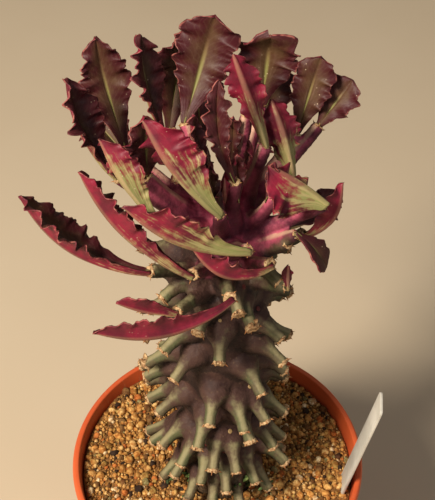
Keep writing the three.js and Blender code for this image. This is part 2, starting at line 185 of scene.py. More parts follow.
def finished(obj, material=None, nodes=()):
    # ties a finished piece to the one body, its slot and the nodes it stands for
    if material:
        obj.data.materials.clear()
        obj.data.materials.append(material)
    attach(obj, "root")
    if nodes:
        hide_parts(*nodes)
    return obj


def triangles(obj):
    return sum(len(p.vertices) - 2 for p in obj.data.polygons)


# node helpers

def addNode(tree, kind, inputs=None, **settings):
    # an input takes a plain value or the socket that feeds it
    node = tree.nodes.new(kind)
    for key, value in settings.items():
        setattr(node, key, value)
    for key, value in (inputs or {}).items():
        if isinstance(value, bpy.types.NodeSocket):
            tree.links.new(value, node.inputs[key])
        else:
            node.inputs[key].default_value = value
    return node


def maths(tree, operation, *values, clamp=False):
    inputs = dict(enumerate(values))
    return addNode(tree, "ShaderNodeMath", inputs, operation=operation, use_clamp=clamp).outputs[0]


class Skin:
    # a material being wired; its finish holds, by name, colours, shares, noises as (patterns per metre,
    # detail, roughness), ranges as (where it starts, where it is full) and bumps as (strength, metres)
    def __init__(self, name, finish):
        self.finish = finish
        self.material = bpy.data.materials.new(name)
        self.material.use_nodes = True
        self.tree = self.material.node_tree
        self.shader = self.tree.nodes["Principled BSDF"]
        self.shader.inputs["Roughness"].default_value = finish["roughness"]
        self.shader.inputs["Specular IOR Level"].default_value = finish["specular"]

    def given(self, value):
        return self.finish[value] if isinstance(value, str) else value

    def read(self, attribute):
        return addNode(self.tree, "ShaderNodeAttribute", attribute_name=attribute).outputs["Fac"]

    def place(self):
        return addNode(self.tree, "ShaderNodeTexCoord").outputs["Object"]

    def noise(self, name, source=None, stretch=None):
        # 0 to 1, on the object's own coordinates where no source is given
        scale, detail, rough = self.finish[name]
        source = source or self.place()
        if stretch:
            inputs = {"Vector": source, "Scale": self.finish[stretch]}
            source = addNode(self.tree, "ShaderNodeMapping", inputs).outputs["Vector"]
        inputs = {"Vector": source, "Scale": scale, "Detail": detail, "Roughness": rough}
        return addNode(self.tree, "ShaderNodeTexNoise", inputs).outputs["Fac"]

    def maths(self, operation, *values, clamp=False):
        return maths(self.tree, operation, *[self.given(value) for value in values], clamp=clamp)

    def times(self, a, b):
        return self.maths("MULTIPLY", a, b)

    def sway(self, value, pattern, strength):
        # the value, raised and lowered by a pattern of 0 to 1
        return self.maths("MULTIPLY_ADD", self.maths("SUBTRACT", pattern, 0.5), strength, value)

    def rise(self, value, span):
        # 0 below the range, 1 above it, smooth in between
        low, high = self.given(span)
        inputs = {"Value": value, "From Min": low, "From Max": high}
        node = addNode(self.tree, "ShaderNodeMapRange", inputs, interpolation_type="SMOOTHSTEP")
        return node.outputs["Result"]

    def fall(self, value, span):
        return self.maths("SUBTRACT", 1, self.rise(value, span))

    def blend(self, amount, a, b, share=None, mode="MIX"):
        # a share scales the amount
        if share:
            amount = self.times(amount, share)
        inputs = {0: amount, 6: self.given(a), 7: self.given(b)}
        return addNode(self.tree, "ShaderNodeMix", inputs, data_type="RGBA", blend_type=mode).outputs[2]

    def ramp(self, value, stops, kind="LINEAR"):
        node = addNode(self.tree, "ShaderNodeValToRGB", {"Fac": value})
        band = node.color_ramp
        band.interpolation = kind
        while len(band.elements) < len(self.finish[stops]):
            band.elements.new(0.5)
        for element, (place, shade) in zip(band.elements, self.finish[stops]):
            element.position = place
            element.color = shade
        return node.outputs["Color"]

    def paint(self, shade, pattern=None):
        # the colour and, where a pattern is given, a roughness that follows it
        self.tree.links.new(shade, self.shader.inputs["Base Color"])
        if pattern:
            rough = self.maths("MULTIPLY_ADD", pattern, "roughSpread", "roughLeast")
            self.tree.links.new(rough, self.shader.inputs["Roughness"])

    def bump(self, height, name, under=None):
        strength, distance = self.finish[name]
        inputs = {"Height": height, "Strength": strength, "Distance": distance}
        if under:
            inputs["Normal"] = under
        normal = addNode(self.tree, "ShaderNodeBump", inputs).outputs["Normal"]
        self.tree.links.new(normal, self.shader.inputs["Normal"])
        return normal


def crumblyMaterial(name, finish):
    # colour and bumps follow one noise; a second set of colours goes where the tint is high
    skin = Skin(name, finish)
    crumbs = skin.noise("crumbs")
    shade = skin.ramp(crumbs, "stops")
    if "tintedStops" in finish:
        tinted = skin.rise(skin.read("tint"), "tintFrom")
        shade = skin.blend(tinted, shade, skin.ramp(crumbs, "tintedStops"))
    skin.paint(shade)
    skin.bump(crumbs, "bump")
    return skin.material


# camera: a hand-held view from above, as far off as the pot's rim shows

camera = {"place": (0, -0.2065, 0.3749), "tilt": 45.2, "lens": 82.0, "nearest": 0.01}


def makeCamera():
    data = bpy.data.cameras.new("camera")
    data.lens = camera["lens"]
    data.clip_start = camera["nearest"]
    made = linked("camera", data)
    made.location = camera["place"]
    made.rotation_euler = (math.radians(camera["tilt"]), 0, 0)
    scene.camera = made


makeCamera()


# geometry node helpers

def newTree(name, inputs):
    # inputs: name -> (socket type, default); the geometry goes in first and comes out last
    tree = bpy.data.node_groups.new(name, "GeometryNodeTree")
    tree.is_modifier = True
    tree.interface.new_socket("Geometry", in_out="INPUT", socket_type="NodeSocketGeometry")
    for label, (kind, value) in inputs.items():
        socket = tree.interface.new_socket(label, in_out="INPUT", socket_type=kind)
        if value is not None:
            socket.default_value = value
    tree.interface.new_socket("Geometry", in_out="OUTPUT", socket_type="NodeSocketGeometry")
    return tree, tree.nodes.new("NodeGroupInput"), tree.nodes.new("NodeGroupOutput")


def runTree(obj, tree, values):
    modifier = obj.modifiers.new(tree.name, "NODES")
    modifier.node_group = tree
    for item in tree.interface.items_tree:
        if item.in_out == "INPUT" and item.name in values:
            modifier[item.identifier] = values[item.name]
    return applied(obj)


def randomNumber(tree, seed, shift, low=None, high=None):
    # 0 to 1 where low and high are left out; shift keeps the draws apart
    inputs = {"Seed": maths(tree, "ADD", seed, shift)}
    if low:
        inputs.update({2: low, 3: high})
    return addNode(tree, "FunctionNodeRandomValue", inputs, data_type="FLOAT").outputs[1]


def randomTurn(tree, seed, most):
    inputs = {1: most, "Seed": seed}
    return addNode(tree, "FunctionNodeRandomValue", inputs, data_type="FLOAT_VECTOR").outputs[0]


def pickedShapes(tree, shapes, points, turn, size):
    # one of the shapes on each point
    inputs = {"Collection": shapes, "Separate Children": True, "Reset Children": True}
    choose = addNode(tree, "GeometryNodeCollectionInfo", inputs, transform_space="ORIGINAL")
    return addNode(tree, "GeometryNodeInstanceOnPoints", {
        "Points": points, "Instance": choose.outputs[0], "Pick Instance": True,
        "Rotation": turn, "Scale": size,
    }).outputs[0]


def endTree(tree, end, instances, material):
    real = addNode(tree, "GeometryNodeRealizeInstances", {0: instances})
    dress = addNode(tree, "GeometryNodeSetMaterial", {"Geometry": real.outputs[0], "Material": material})
    tree.links.new(dress.outputs[0], end.inputs[0])
    return tree


def runWithShapes(obj, tree, shapes, values):
    # the shapes wait in a collection of their own and are gone afterwards
    holder = bpy.data.collections.new("shapes")
    for shape in shapes:
        for other in list(shape.users_collection):
            other.objects.unlink(shape)
        holder.objects.link(shape)
    runTree(obj, tree, {**values, "Shapes": holder})
    for shape in shapes:
        bpy.data.objects.remove(shape)
    bpy.data.collections.remove(holder)


# pot: a 9 cm round plastic pot with a banded rim

pot = {
    "rimRadius": 45, "height": 80, "baseRadius": 31.5, "wall": 1.6, "floor": 2,
    "rimBand": 9, "rimStep": 1.4, "rimTaper": 0.6, "rimEdge": 0.9, "rimWall": 2, "innerStep": 2,
    "roundings": (0.9, 0.3, 0.3, 0.5, 0.4, 0.5, 0.4, 0.6),    # base, band, rim, inside, floor
    "segments": 160, "cornerSteps": 4, "sharpFrom": 40,
    "drainHoles": 8, "drainRadius": 3, "drainCircle": 27.5, "drainSides": 24,
}


def potInside(height):
    run = pot["height"] - pot["rimBand"]
    slope = (pot["rimRadius"] - pot["rimStep"] - pot["baseRadius"]) / run
    return pot["baseRadius"] + slope * height - pot["wall"]


def roundedOutline(corners, steps):
    # corners: (radius, height, rounding); each is replaced by a short arc
    outline = []
    for i, (r, z, rounding) in enumerate(corners):
        here = np.array([r, z], float)
        if rounding == 0:
            outline.append(here)
            continue
        before = unit(np.array(corners[i - 1][:2], float) - here) * rounding
        after = unit(np.array(corners[i + 1][:2], float) - here) * rounding
        for k in range(steps + 1):
            t = k / steps
            outline.append(here + before * (1 - t) ** 2 + after * t ** 2)
    return outline


def lathe(name, outline, segments):
    # turns an outline that starts and ends on the axis round Z
    inner = outline[1:-1]
    points = [point for r, z in inner for point in ringPoints(segments, r, z)]
    points += [(0, 0, outline[0][1]), (0, 0, outline[-1][1])]
    return makeObject(name, points, poleFaces(len(inner), segments))


def makePot():
    rim = pot["rimRadius"]
    top = pot["height"]
    bandFoot = top - pot["rimBand"]
    innerFoot = bandFoot - pot["innerStep"]
    edges = [
        (pot["baseRadius"], 0), (rim - pot["rimStep"], bandFoot), (rim - pot["rimTaper"], bandFoot),
        (rim, top - pot["rimEdge"]), (rim - pot["rimTaper"], top), (rim - pot["rimWall"], top),
        (potInside(innerFoot), innerFoot), (potInside(pot["floor"]), pot["floor"]),
    ]
    corners = [(r, z, rounding) for (r, z), rounding in zip(edges, pot["roundings"])]
    corners = [(0, 0, 0), *corners, (0, pot["floor"], 0)]
    made = lathe("pot_shell", roundedOutline(corners, pot["cornerSteps"]), pot["segments"])
    for k in range(pot["drainHoles"]):
        place = around(360 * (k + 0.5) / pot["drainHoles"], pot["drainCircle"], pot["floor"] / 2) * mm
        bpy.ops.mesh.primitive_cylinder_add(
            vertices=pot["drainSides"], radius=pot["drainRadius"] * mm, depth=4 * pot["floor"] * mm,
            location=tuple(place))
        cutter = bpy.context.object
        cut = made.modifiers.new("drain", "BOOLEAN")
        cut.operation = "DIFFERENCE"
        cut.solver = "EXACT"
        cut.object = cutter
        applied(made)
        bpy.data.objects.remove(cutter)
    shadeSmooth(made.data)
    made.data.set_sharp_from_angle(angle=math.radians(pot["sharpFrom"]))
    return made


potFinish = {
    "lit": colour(205, 92, 48), "deep": colour(176, 66, 32), "dust": colour(200, 150, 110),
    "roughness": 0.42, "specular": 0.45, "roughSpread": 0.25, "roughLeast": 0.34,
    "clouds": (55, 5, 0.55), "cloudFrom": (0.35, 0.65), "cloudiness": 0.4,
    "scratches": (900, 3, 0.7), "scratchStretch": (1, 1, 0.12), "scratchFrom": (0.58, 0.75),
    "dustFrom": (0.45, 0.6), "dustiness": 0.35, "bump": (0.12, 0.0004),
}


def potMaterial():
    skin = Skin("terracotta plastic", potFinish)
    clouds = skin.noise("clouds")
    body = skin.blend(skin.rise(clouds, "cloudFrom"), "lit", "deep", "cloudiness")
    fine = skin.noise("scratches", stretch="scratchStretch")
    dusty = skin.times(skin.rise(fine, "scratchFrom"), skin.rise(clouds, "dustFrom"))
    skin.paint(skin.blend(dusty, body, "dust", "dustiness"), fine)
    skin.bump(fine, "bump")
    return skin.material


finished(makePot(), potMaterial(), ["pot"])
print("pot done")


# grit: a rough bed and three sizes of grain scattered over it

grit = {
    "level": 74.6, "sunk": 0.5, "heap": 1.5, "heapWay": (-0.6, 0.8), "lumps": 0.7, "lumpScale": 0.22,
    "gap": 0.35, "stemStand": (1.2, 0), "stemHole": 11.8, "holeDepth": 46, "rings": 44, "segments": 150,
    "wallRoom": 1.6, "stemRoom": 0.2, "steepest": 0.4, "deepest": 8,
}
grains = {
    "coarse": {"size": (2.2, 3.9), "spacing": 2.3, "crowd": 0.17, "lift": 0.3, "seed": 3, "sides": 8},
    "medium": {"size": (1.3, 2.2), "spacing": 1.1, "crowd": 0.75, "lift": 0.2, "seed": 8, "sides": 8},
    "fine": {"size": (0.75, 1.35), "spacing": 0.72, "crowd": 1.6, "lift": 0.15, "seed": 21, "sides": 5},
}
stones = {
    "shapes": 6, "seed": 100, "cuts": 7, "cutDepth": (0.55, 0.85), "cutWidth": 0.3,
    "stretch": ((0.85, 1.25), (0.75, 1.1), (0.65, 0.95)),
}


def gritHeight(x, y):
    wayX, wayY = grit["heapWay"]
    lean = grit["heap"] * (wayX * x + wayY * y) / pot["rimRadius"]
    bumpy = noise.noise(Vector((x, y, 0)) * grit["lumpScale"]) * grit["lumps"]
    return grit["level"] - grit["sunk"] + lean + bumpy


def makeBed():
    outer = potInside(grit["level"]) - 2 * grit["gap"]
    bottom = pot["floor"] + grit["gap"]
    sides = grit["segments"]
    stand = np.array([*grit["stemStand"], 0])
    rings = [ringPoints(sides, potInside(bottom) - grit["gap"], bottom)]
    for i in range(grit["rings"] + 1):
        share = i / grit["rings"]
        distance = mix(outer, grit["stemHole"], share)
        ring = [point + stand * share for point in ringPoints(sides, distance, 0)]
        for point in ring:
            point[2] = gritHeight(point[0], point[1])
        rings.append(ring)
    rings.append([point + stand for point in ringPoints(sides, grit["stemHole"], grit["holeDepth"])])
    return makeObject("grit_bed", np.concatenate(rings), tubeFaces(len(rings), sides))


def grainShape(index, sides):
    # a broken stone: a ball cut back by a few flat faces
    draw = random.Random(stones["seed"] + index)
    bpy.ops.mesh.primitive_uv_sphere_add(segments=sides, ring_count=sides // 2 + 1, radius=1)
    made = bpy.context.object
    made.name = f"grain_{index}"
    cuts = []
    for _ in range(stones["cuts"]):
        normal = Vector([draw.gauss(0, 1) for axis in range(3)]).normalized()
        cuts.append((normal, draw.uniform(*stones["cutDepth"])))
    stretch = Vector([draw.uniform(*span) for span in stones["stretch"]])
    for vertex in made.data.vertices:
        way = vertex.co.normalized()
        met = [depth / way.dot(normal) for normal, depth in cuts if way.dot(normal) > stones["cutWidth"]]
        vertex.co = way * min([1.0] + met) * stretch * 0.5 * mm
    shadeSmooth(made.data)
    return made


def scatterTree(name):
    # grains dropped on a surface, each turned, sized and tinted at random
    tree, start, end = newTree(name, {
        "Spacing": ("NodeSocketFloat", 0.001), "Crowd": ("NodeSocketFloat", 1000.0),
        "Smallest": ("NodeSocketFloat", 1.0), "Largest": ("NodeSocketFloat", 2.0),
        "Lift": ("NodeSocketFloat", 0.0), "Seed": ("NodeSocketInt", 0),
        "Shapes": ("NodeSocketCollection", None), "Material": ("NodeSocketMaterial", None),
    })
    given = start.outputs
    drop = addNode(tree, "GeometryNodeDistributePointsOnFaces", distribute_method="POISSON", inputs={
        "Mesh": given["Geometry"], "Distance Min": given["Spacing"], "Density Max": given["Crowd"],
        "Seed": given["Seed"],
    })
    turn = randomTurn(tree, given["Seed"], (6.28, 6.28, 6.28))
    size = randomNumber(tree, given["Seed"], 5, given["Smallest"], given["Largest"])
    put = pickedShapes(tree, given["Shapes"], drop.outputs["Points"], turn, size)
    upward = addNode(tree, "ShaderNodeCombineXYZ", {"Z": given["Lift"]})
    raised = addNode(tree, "GeometryNodeTranslateInstances", {
        "Instances": put, "Translation": upward.outputs[0], "Local Space": False,
    })
    tint = addNode(tree, "GeometryNodeStoreNamedAttribute", data_type="FLOAT", domain="INSTANCE", inputs={
        "Geometry": raised.outputs[0], "Name": "tint", "Value": randomNumber(tree, given["Seed"], 11),
    })
    return endTree(tree, end, tint.outputs[0], given["Material"])


grainFinish = {
    "stops": [
        (0.0, colour(52, 36, 24)), (0.07, colour(120, 88, 48)), (0.16, colour(188, 142, 76)),
        (0.34, colour(210, 166, 98)), (0.52, colour(194, 118, 56)), (0.59, colour(218, 180, 116)),
        (0.74, colour(166, 134, 72)), (0.82, colour(204, 150, 80)), (0.92, colour(230, 210, 168)),
        (0.965, colour(140, 134, 90)),
    ],
    "shadow": colour(190, 160, 130), "rust": colour(120, 70, 34), "roughness": 0.85, "specular": 0.3,
    "speckles": (900, 4, 0.65), "speckleFrom": (0.4, 0.62), "patches": (260, 3, 0.55),
    "rustFrom": (0.52, 0.7), "rustiness": 0.35, "bump": (0.5, 0.0004),
}
bedFinish = {
    "stops": [(0.3, colour(66, 44, 26)), (0.5, colour(132, 92, 50)), (0.7, colour(176, 128, 70))],
    "roughness": 0.95, "specular": 0.2, "crumbs": (1100, 4, 0.7), "bump": (0.8, 0.0008),
}


def grainMaterial():
    skin = Skin("grit grains", grainFinish)
    base = skin.ramp(skin.read("tint"), "stops", "CONSTANT")
    speckles = skin.noise("speckles")
    darker = skin.blend(1.0, base, "shadow", mode="MULTIPLY")
    shade = skin.blend(skin.rise(speckles, "speckleFrom"), darker, base)
    rusty = skin.rise(skin.noise("patches"), "rustFrom")
    skin.paint(skin.blend(rusty, shade, "rust", "rustiness"))
    skin.bump(speckles, "bump")
    return skin.material


def keepTop(obj):
    # leaves only the faces that grains can lie on, clear of the stem and the pot wall
    work = bmesh.new()
    work.from_mesh(obj.data)
    edge = potInside(grit["level"]) - grit["wallRoom"]
    lost = []
    for face in work.faces:
        c = face.calc_center_median() / mm
        far = math.hypot(c.x, c.y) > edge
        near = math.hypot(c.x - grit["stemStand"][0], c.y) < grit["stemHole"] - grit["stemRoom"]
        low = face.normal.z < grit["steepest"] or c.z < grit["level"] - grit["deepest"]
        if far or near or low:
            lost.append(face)
    bmesh.ops.delete(work, geom=lost, context="FACES")
    work.to_mesh(obj.data)
    work.free()


def scatterGrains(bed):
    tree = scatterTree("scatter grains")
    skin = grainMaterial()
    for label, kind in grains.items():
        shapes = [grainShape(k, kind["sides"]) for k in range(stones["shapes"])]
        top = bed.copy()
        top.data = bed.data.copy()
        top.name = "grit_" + label
        scene.collection.objects.link(top)
        keepTop(top)
        runWithShapes(top, tree, shapes, {
            "Spacing": kind["spacing"] * mm, "Crowd": kind["crowd"] / mm ** 2, "Seed": kind["seed"],
            "Smallest": kind["size"][0], "Largest": kind["size"][1], "Lift": kind["lift"] * mm,
            "Material": skin,
        })
        finished(top)
        print("grains", label, triangles(top))


bed = makeBed()
finished(bed, crumblyMaterial("grit dust", bedFinish), ["soil"])
scatterGrains(bed)
print("grit done")


# leaves
# foot: where the leaf sits [right, back, up]; way: where it points; face: where its upper side looks
# (both as heading and rise). bow: sag of the middle; fold: how far each half folds up; sway: sideways
# curve; hook: tip thrown forward or back; twist: turn along the length; blunt: 0 pointed, 1 broad;
# uneven: one half wider; green: how much green shows on the back; crisp: how much the edges crimp.
leafColumns = ("foot", "way", "face", "length", "width", "bow", "fold")
leafTable = [
    ((-22.5, 8, 197), (123, 66), (-70, 25), 28.5, 12.5, 3, 22, {}),
    ((-13.5, 11, 200), (124, 70), (-30, 25), 25, 11.5, 2, 35, {}),
    ((-12, 19, 194), (66, 66), (-70, 25), 26.5, 15, 2, 30, {"twist": 40, "blunt": 0.9}),
    ((-8, 13, 201), (54, 62), (-95, 25), 27.5, 15, 3, 18, {"blunt": 1.7}),
    ((4, -7, 199.5), (120, 73), (-90, 20), 26, 7, 0, 45, {"sway": -2}),
    ((11, 20, 201), (59, 80), (-95, 20), 20.5, 15.2, 2, 20, {"blunt": 2, "hook": 3}),
    ((11.5, 3, 202), (146, 66), (100, 10), 24, 10, -1, 50, {"hook": 2}),
    ((18.5, 5, 190), (131, 65), (110, 0), 21.5, 11, 3, 45, {"green": 0.75}),
    ((25.5, -7, 192), (160, 28), (-90, -80), 17, 18, 1, 30, {"blunt": 0, "uneven": 0.38, "green": 0.7}),
    ((22, 0, 176), (12, 61), (120, 40), 18, 12, 4, 50, {"green": 0.3}),
    ((20, 17, 194.5), (42, 71), (-100, 20), 21.5, 10, 0, 20, {"blunt": 1.8}),
    ((25.5, 18, 196), (20, 56), (-110, 40), 15, 10, 0, 20, {"blunt": 1.8}),
    ((-23.5, -4, 198), (145, 61), (-20, 40), 27, 14, 4, 50, {}),
    ((-14, -17, 197), (155, 55), (60, 20), 23.5, 13, 2, 50, {"green": 0.8}),
    ((-17, -2, 196.5), (71, 87), (-60, 20), 18, 11, 0, 20, {}),
    ((0.5, -14, 195.5), (161, 52), (85, 30), 29.5, 17, 3, 45, {"green": 0.7, "crisp": 0.75}),
    ((7, -21.5, 191), (-175, 30), (85, 40), 32.5, 17, 4, 50, {"green": 0.8, "crisp": 0.7}),
    ((-6, -22, 183.5), (161, 43), (60, 50), 36.5, 14, 4, 50, {"green": 0.4, "crisp": 0.6}),
    ((-16.5, -16, 178.5), (165, 29), (40, 60), 36, 16, 6, 52, {"green": 0.15, "crisp": 0.7}),
    ((12.5, -18.5, 183.5), (-172, 26), (85, 45), 21.5, 11.5, 5.5, 50, {"green": 0.15, "crisp": 0.7}),
    ((-10, -22, 170.5), (-170, 24), (90, 30), 16, 9, 1, 35, {"green": 0.3, "crisp": 0.4}),
    ((3, -24, 177.5), (-160, 2), (75, 30), 34, 13, 5, 52, {"green": 0.1, "crisp": 0.45}),
    ((19, -10, 185), (-3, -55), (-35, 55), 14, 7.5, -1, 20, {"blunt": 1, "crisp": 0.15, "green": 0.6}),
    ((17, -16, 173), (90, 70), (100, 10), 6.5, 3, 0, 30, {}),
    ((10, 21, 188), (72, 40), (-110, 60), 26, 14, 3, 35, {}),
    ((-4, 24, 184), (95, 32), (-80, 60), 27, 14, 3, 35, {}),
    ((-19, 15, 184), (140, 30), (-60, 60), 25, 14, 3, 35, {}),
    ((19, 12, 167), (38, 8), (-140, 70), 19, 12, 3, 35, {}),
    ((7, 24, 171), (78, 10), (-100, 75), 24, 12, 3, 40, {}),
]
leafDefaults = {"hook": 0, "sway": 0, "twist": 0, "blunt": 0.3, "uneven": 0, "green": 0.45, "crisp": 1}
blade = {
    "edge": 0.36, "middle": 0.9, "foot": 1.7, "thinning": 0.8, "footGap": -0.6,
    "footShare": 0.18, "footRound": 0.55, "footRoundTo": 0.06, "tipShare": 0.05, "broadFrom": 0.62,
    "closesFrom": 0.55, "sharpness": (1.5, 5), "closing": 0.8, "hookFrom": 0.7, "twistFrom": 0.4,
    "foldAlong": (1.25, 0.85), "foldAcross": (1.25, 0.75), "foldOpens": (0.1, 0.8), "foldRoom": 1.3,
    "crimpLength": 5.5, "crimpHeight": 0.085, "crimpFrom": (0.15, 0.45), "crimpFades": 0.4,
    "unevenBeat": 1.3, "unevenCrimp": 0.55, "lobeDepth": 0.09, "lobesFrom": (0.2, 0.5),
    "teeth": 0.035, "teethFrom": (0.25, 0.5), "tipFrom": (0.9, 1), "frillLength": 2.5, "frillHeight": 0.78,
    "frillWidth": (0.5, 1), "frillFrom": (0.2, 0.42), "curl": 0.7, "groove": 0.2, "grooveFrom": (0.05, 0.2),
    "keel": 0.35, "keelFades": (0.3, 0.9), "keelLoss": 0.7, "ribSharpness": 7, "stationLength": 0.4,
    "fewestStations": 14, "across": 29, "columnSpread": 0.85, "seedPhase": 1.7, "halfPhase": 2.1,
}


def wander(x, shift):
    # an irregular wave, about -1 to 1
    waves = ((0.5, 1, 1), (0.3, 2.17, 1.7), (0.2, 3.73, 2.9))
    return sum(height * np.sin(rate * x + late * shift) for height, rate, late in waves)


def leafAxes(leaf):
    along = heading(*leaf["way"])
    looks = heading(*leaf["face"])
    up = unit(looks - along * looks.dot(along))
    return along, up, np.cross(along, up)


def halfWidth(leaf, t):
    widening = mix(blade["footShare"], 1, smooth(0, blade["broadFrom"], t))
    widening = widening * mix(blade["footRound"], 1, smooth(0, blade["footRoundTo"], t) ** 0.5)
    past = np.maximum(0, (t - blade["closesFrom"]) / (1 - blade["closesFrom"]))
    closing = np.maximum(0, 1 - past ** mix(*blade["sharpness"], leaf["blunt"])) ** blade["closing"]
    return 0.5 * leaf["width"] * widening * np.maximum(blade["tipShare"], closing)


def midrib(leaf, axes, root, t):
    along, up, side = axes
    arch = 4 * t * (1 - t)
    thrown = np.maximum(0, (t - blade["hookFrom"]) / (1 - blade["hookFrom"])) ** 2
    return (root + along * (leaf["length"] * t) + up * (leaf["hook"] * thrown - leaf["bow"] * arch)
            + side * (leaf["sway"] * arch))


def bladeSurface(leaf, t, s):
    # the blade's middle surface and the way its upper side looks: t from foot to tip, s across it
    axes = leafAxes(leaf)
    root = np.array(leaf["foot"], float) + axes[0] * blade["footGap"]
    t3 = t[..., None]
    tangent = unit(midrib(leaf, axes, root, t3 + 0.001) - midrib(leaf, axes, root, t3 - 0.001))
    flatSide = unit(np.cross(tangent, axes[1]))
    flatUp = np.cross(flatSide, tangent)
    turn = np.radians(leaf["twist"]) * (t3 - blade["twistFrom"])
    up = flatUp * np.cos(turn) + flatSide * np.sin(turn)
    side = flatSide * np.cos(turn) - flatUp * np.sin(turn)
    away = np.abs(s)
    hand = np.sign(s)
    thick = mix(blade["middle"], blade["foot"], (1 - t) ** 2)
    half = halfWidth(leaf, t) * (1 + hand * leaf["uneven"])
    wanted = np.radians(leaf["fold"]) * mix(*blade["foldAlong"], smooth(*blade["foldOpens"], t))
    wanted = wanted * mix(*blade["foldAcross"], away)
    fold = np.minimum(wanted, np.arctan(half / (blade["foldRoom"] * thick)))
    # beat counts the crimps and run the small frills; odd rates keep their waves from repeating
    phase = blade["seedPhase"] * leaf["seed"] + np.where(s < 0, 0, blade["halfPhase"])
    beat = 2 * np.pi * leaf["waves"] * t
    run = 2 * np.pi * t * leaf["length"] / blade["frillLength"]
    lobed = blade["lobeDepth"] * away ** 2 * smooth(*blade["lobesFrom"], t)
    toothed = blade["teeth"] * away ** 4 * smooth(*blade["teethFrom"], t)
    toothed = toothed * (1 - smooth(*blade["tipFrom"], t))
    lobes = 1 + lobed * np.sin(1.3 * beat + 0.65 * phase)
    lobes = lobes + toothed * (wander(1.9 * run, 5 * phase) - 0.6 * np.abs(np.sin(1.3 * run + phase)))
    swell = blade["crimpHeight"] * leaf["width"] * smooth(*blade["crimpFrom"], t)
    swell = swell * (1 - blade["crimpFades"] * smooth(0.85, 1, t)) * leaf["crisp"]
    swell = swell * (1 + blade["unevenCrimp"] * wander(0.6 * beat, 4 * phase))
    shifted = beat + blade["unevenBeat"] * wander(0.45 * beat, 2 * phase)
    wave = swell * away ** 2.5 * (np.sin(shifted + phase) + 0.5 * np.sin(1.63 * shifted + 1.35 * phase))
    frill = np.sin(run + 2 * phase + 2.4 * wander(0.31 * run, phase))
    frill = frill * (0.55 + 0.45 * wander(0.27 * run, 3 * phase))
    frilled = smooth(*blade["frillWidth"], away) ** 1.5 * smooth(*blade["frillFrom"], t) * leaf["crisp"]
    wave = wave + blade["frillHeight"] * frilled * frill
    reach = away * half * lobes - blade["curl"] * frilled * np.maximum(0, frill) ** 2
    facing = up * np.cos(fold)[..., None] - side * (hand * np.sin(fold))[..., None]
    point = (midrib(leaf, axes, root, t3) + side * (hand * reach * np.cos(fold))[..., None]
             + up * (reach * np.sin(fold))[..., None] + facing * wave[..., None])
    return point, facing, thick


def makeLeaf(leaf, name):
    rows = max(blade["fewestStations"], round(leaf["length"] / blade["stationLength"])) + 1
    columns = blade["across"]
    even = np.linspace(-1, 1, columns)
    spread = np.sign(even) * np.abs(even) ** blade["columnSpread"]
    t, s = np.meshgrid(np.linspace(0, 1, rows), spread, indexing="ij")
    point, facing, thick = bladeSurface(leaf, t, s)
    away = np.abs(s)
    depth = mix(thick, blade["edge"], away ** blade["thinning"])
    rib = np.exp(-(away * blade["ribSharpness"]) ** 2)
    groove = blade["groove"] * rib * smooth(*blade["grooveFrom"], t)
    keel = blade["keel"] * rib * (1 - blade["keelLoss"] * smooth(*blade["keelFades"], t))
    upper = point + facing * (depth / 2 - groove)[..., None]
    lower = point - facing * (depth / 2 + keel)[..., None]
    points = np.concatenate([upper.reshape(-1, 3), lower.reshape(-1, 3)])
    along = np.tile(t.ravel(), 2)
    across = np.tile(s.ravel(), 2)
    return makeObject(name, points, sheetFaces(rows, columns), {
        "along": along, "across": across, "upper": np.repeat([1, 0], rows * columns),
        "green": np.full(len(points), leaf["green"]),
        "chance": np.full(len(points), (leaf["seed"] * 0.618) % 1),
    }, np.stack([along, across * 0.5 + 0.5], axis=1))


leafFinish = {
    "darkUpper": colour(64, 17, 23), "oliveUpper": colour(80, 56, 34), "ribUpper": colour(134, 134, 74),
    "sheenAndVeinUpper": colour(116, 90, 76), "crimson": colour(124, 24, 47), "deepCrimson": colour(88, 19, 36),
    "greenBack": colour(128, 128, 76), "creamBack": colour(180, 148, 114), "margin": colour(178, 108, 96),
    "speck": colour(214, 190, 160),
    "roughness": 0.52, "specular": 0.3, "roughSpread": 0.3, "roughLeast": 0.39,
    "blotches": (210, 5, 0.6), "mottle": (620, 4, 0.65), "fine": (1300, 3, 0.6),
    "streaks": (9.0, 5.0, 0.62), "streakRun": 0.22, "streakFan": -0.4,
    "veinLean": -0.28, "veinCount": 95.0, "veinWaver": 9.0, "veinFrom": (0.72, 1.0), "veinShare": 0.11,
    "oliveBlotches": 1.9, "oliveChance": 0.5, "oliveFrom": (0.25, 1.2),
    "sheenStreaks": (0.46, 0.7), "sheenInside": (0.4, 1.0), "sheenFades": (0.5, 0.85), "sheenShare": 0.38,
    "ribTaper": -0.13, "ribWidth": 0.2, "ribEdge": (0.1, 1.1), "ribReddens": (0.4, 0.9), "ribRed": 0.5,
    "ribStrength": 0.78, "ribFades": (0.45, 0.95), "redFrom": (0.35, 0.62),
    "greenAtFoot": 0.24, "greenAtEdge": -0.2, "greenStreaks": 1.5, "greenBlotches": 1.1, "greenMottle": 0.5,
    "greenFrom": (0.22, 0.62), "creamFrom": (0.2, 0.6), "creamStreaks": (0.42, 0.7), "creamShare": 0.55,
    "keelHighlightWidth": (0.02, 0.16), "keelHighlightShare": 0.3, "edgeWidth": (0.93, 1.0), "edgeFrom": (0.08, 0.3),
    "edgeMottle": (0.42, 0.62), "edgeShare": 0.6,
    "speckScale": 700.0, "speckSize": (0.06, 0.13), "speckFrom": (0.5, 0.6), "speckShare": 0.6,
    "streakBump": (0.25, 0.0006), "fineBump": (0.15, 0.0003),
}


def leafStreaks(skin, along, across, chance):
    # streaks run the way the leaf grows, fanning out a little from the midrib
    fan = skin.times(across, skin.maths("MULTIPLY_ADD", along, "streakFan", 1.0))
    inputs = {"X": skin.times(along, "streakRun"), "Y": fan, "Z": chance}
    return skin.noise("streaks", addNode(skin.tree, "ShaderNodeCombineXYZ", inputs).outputs[0])


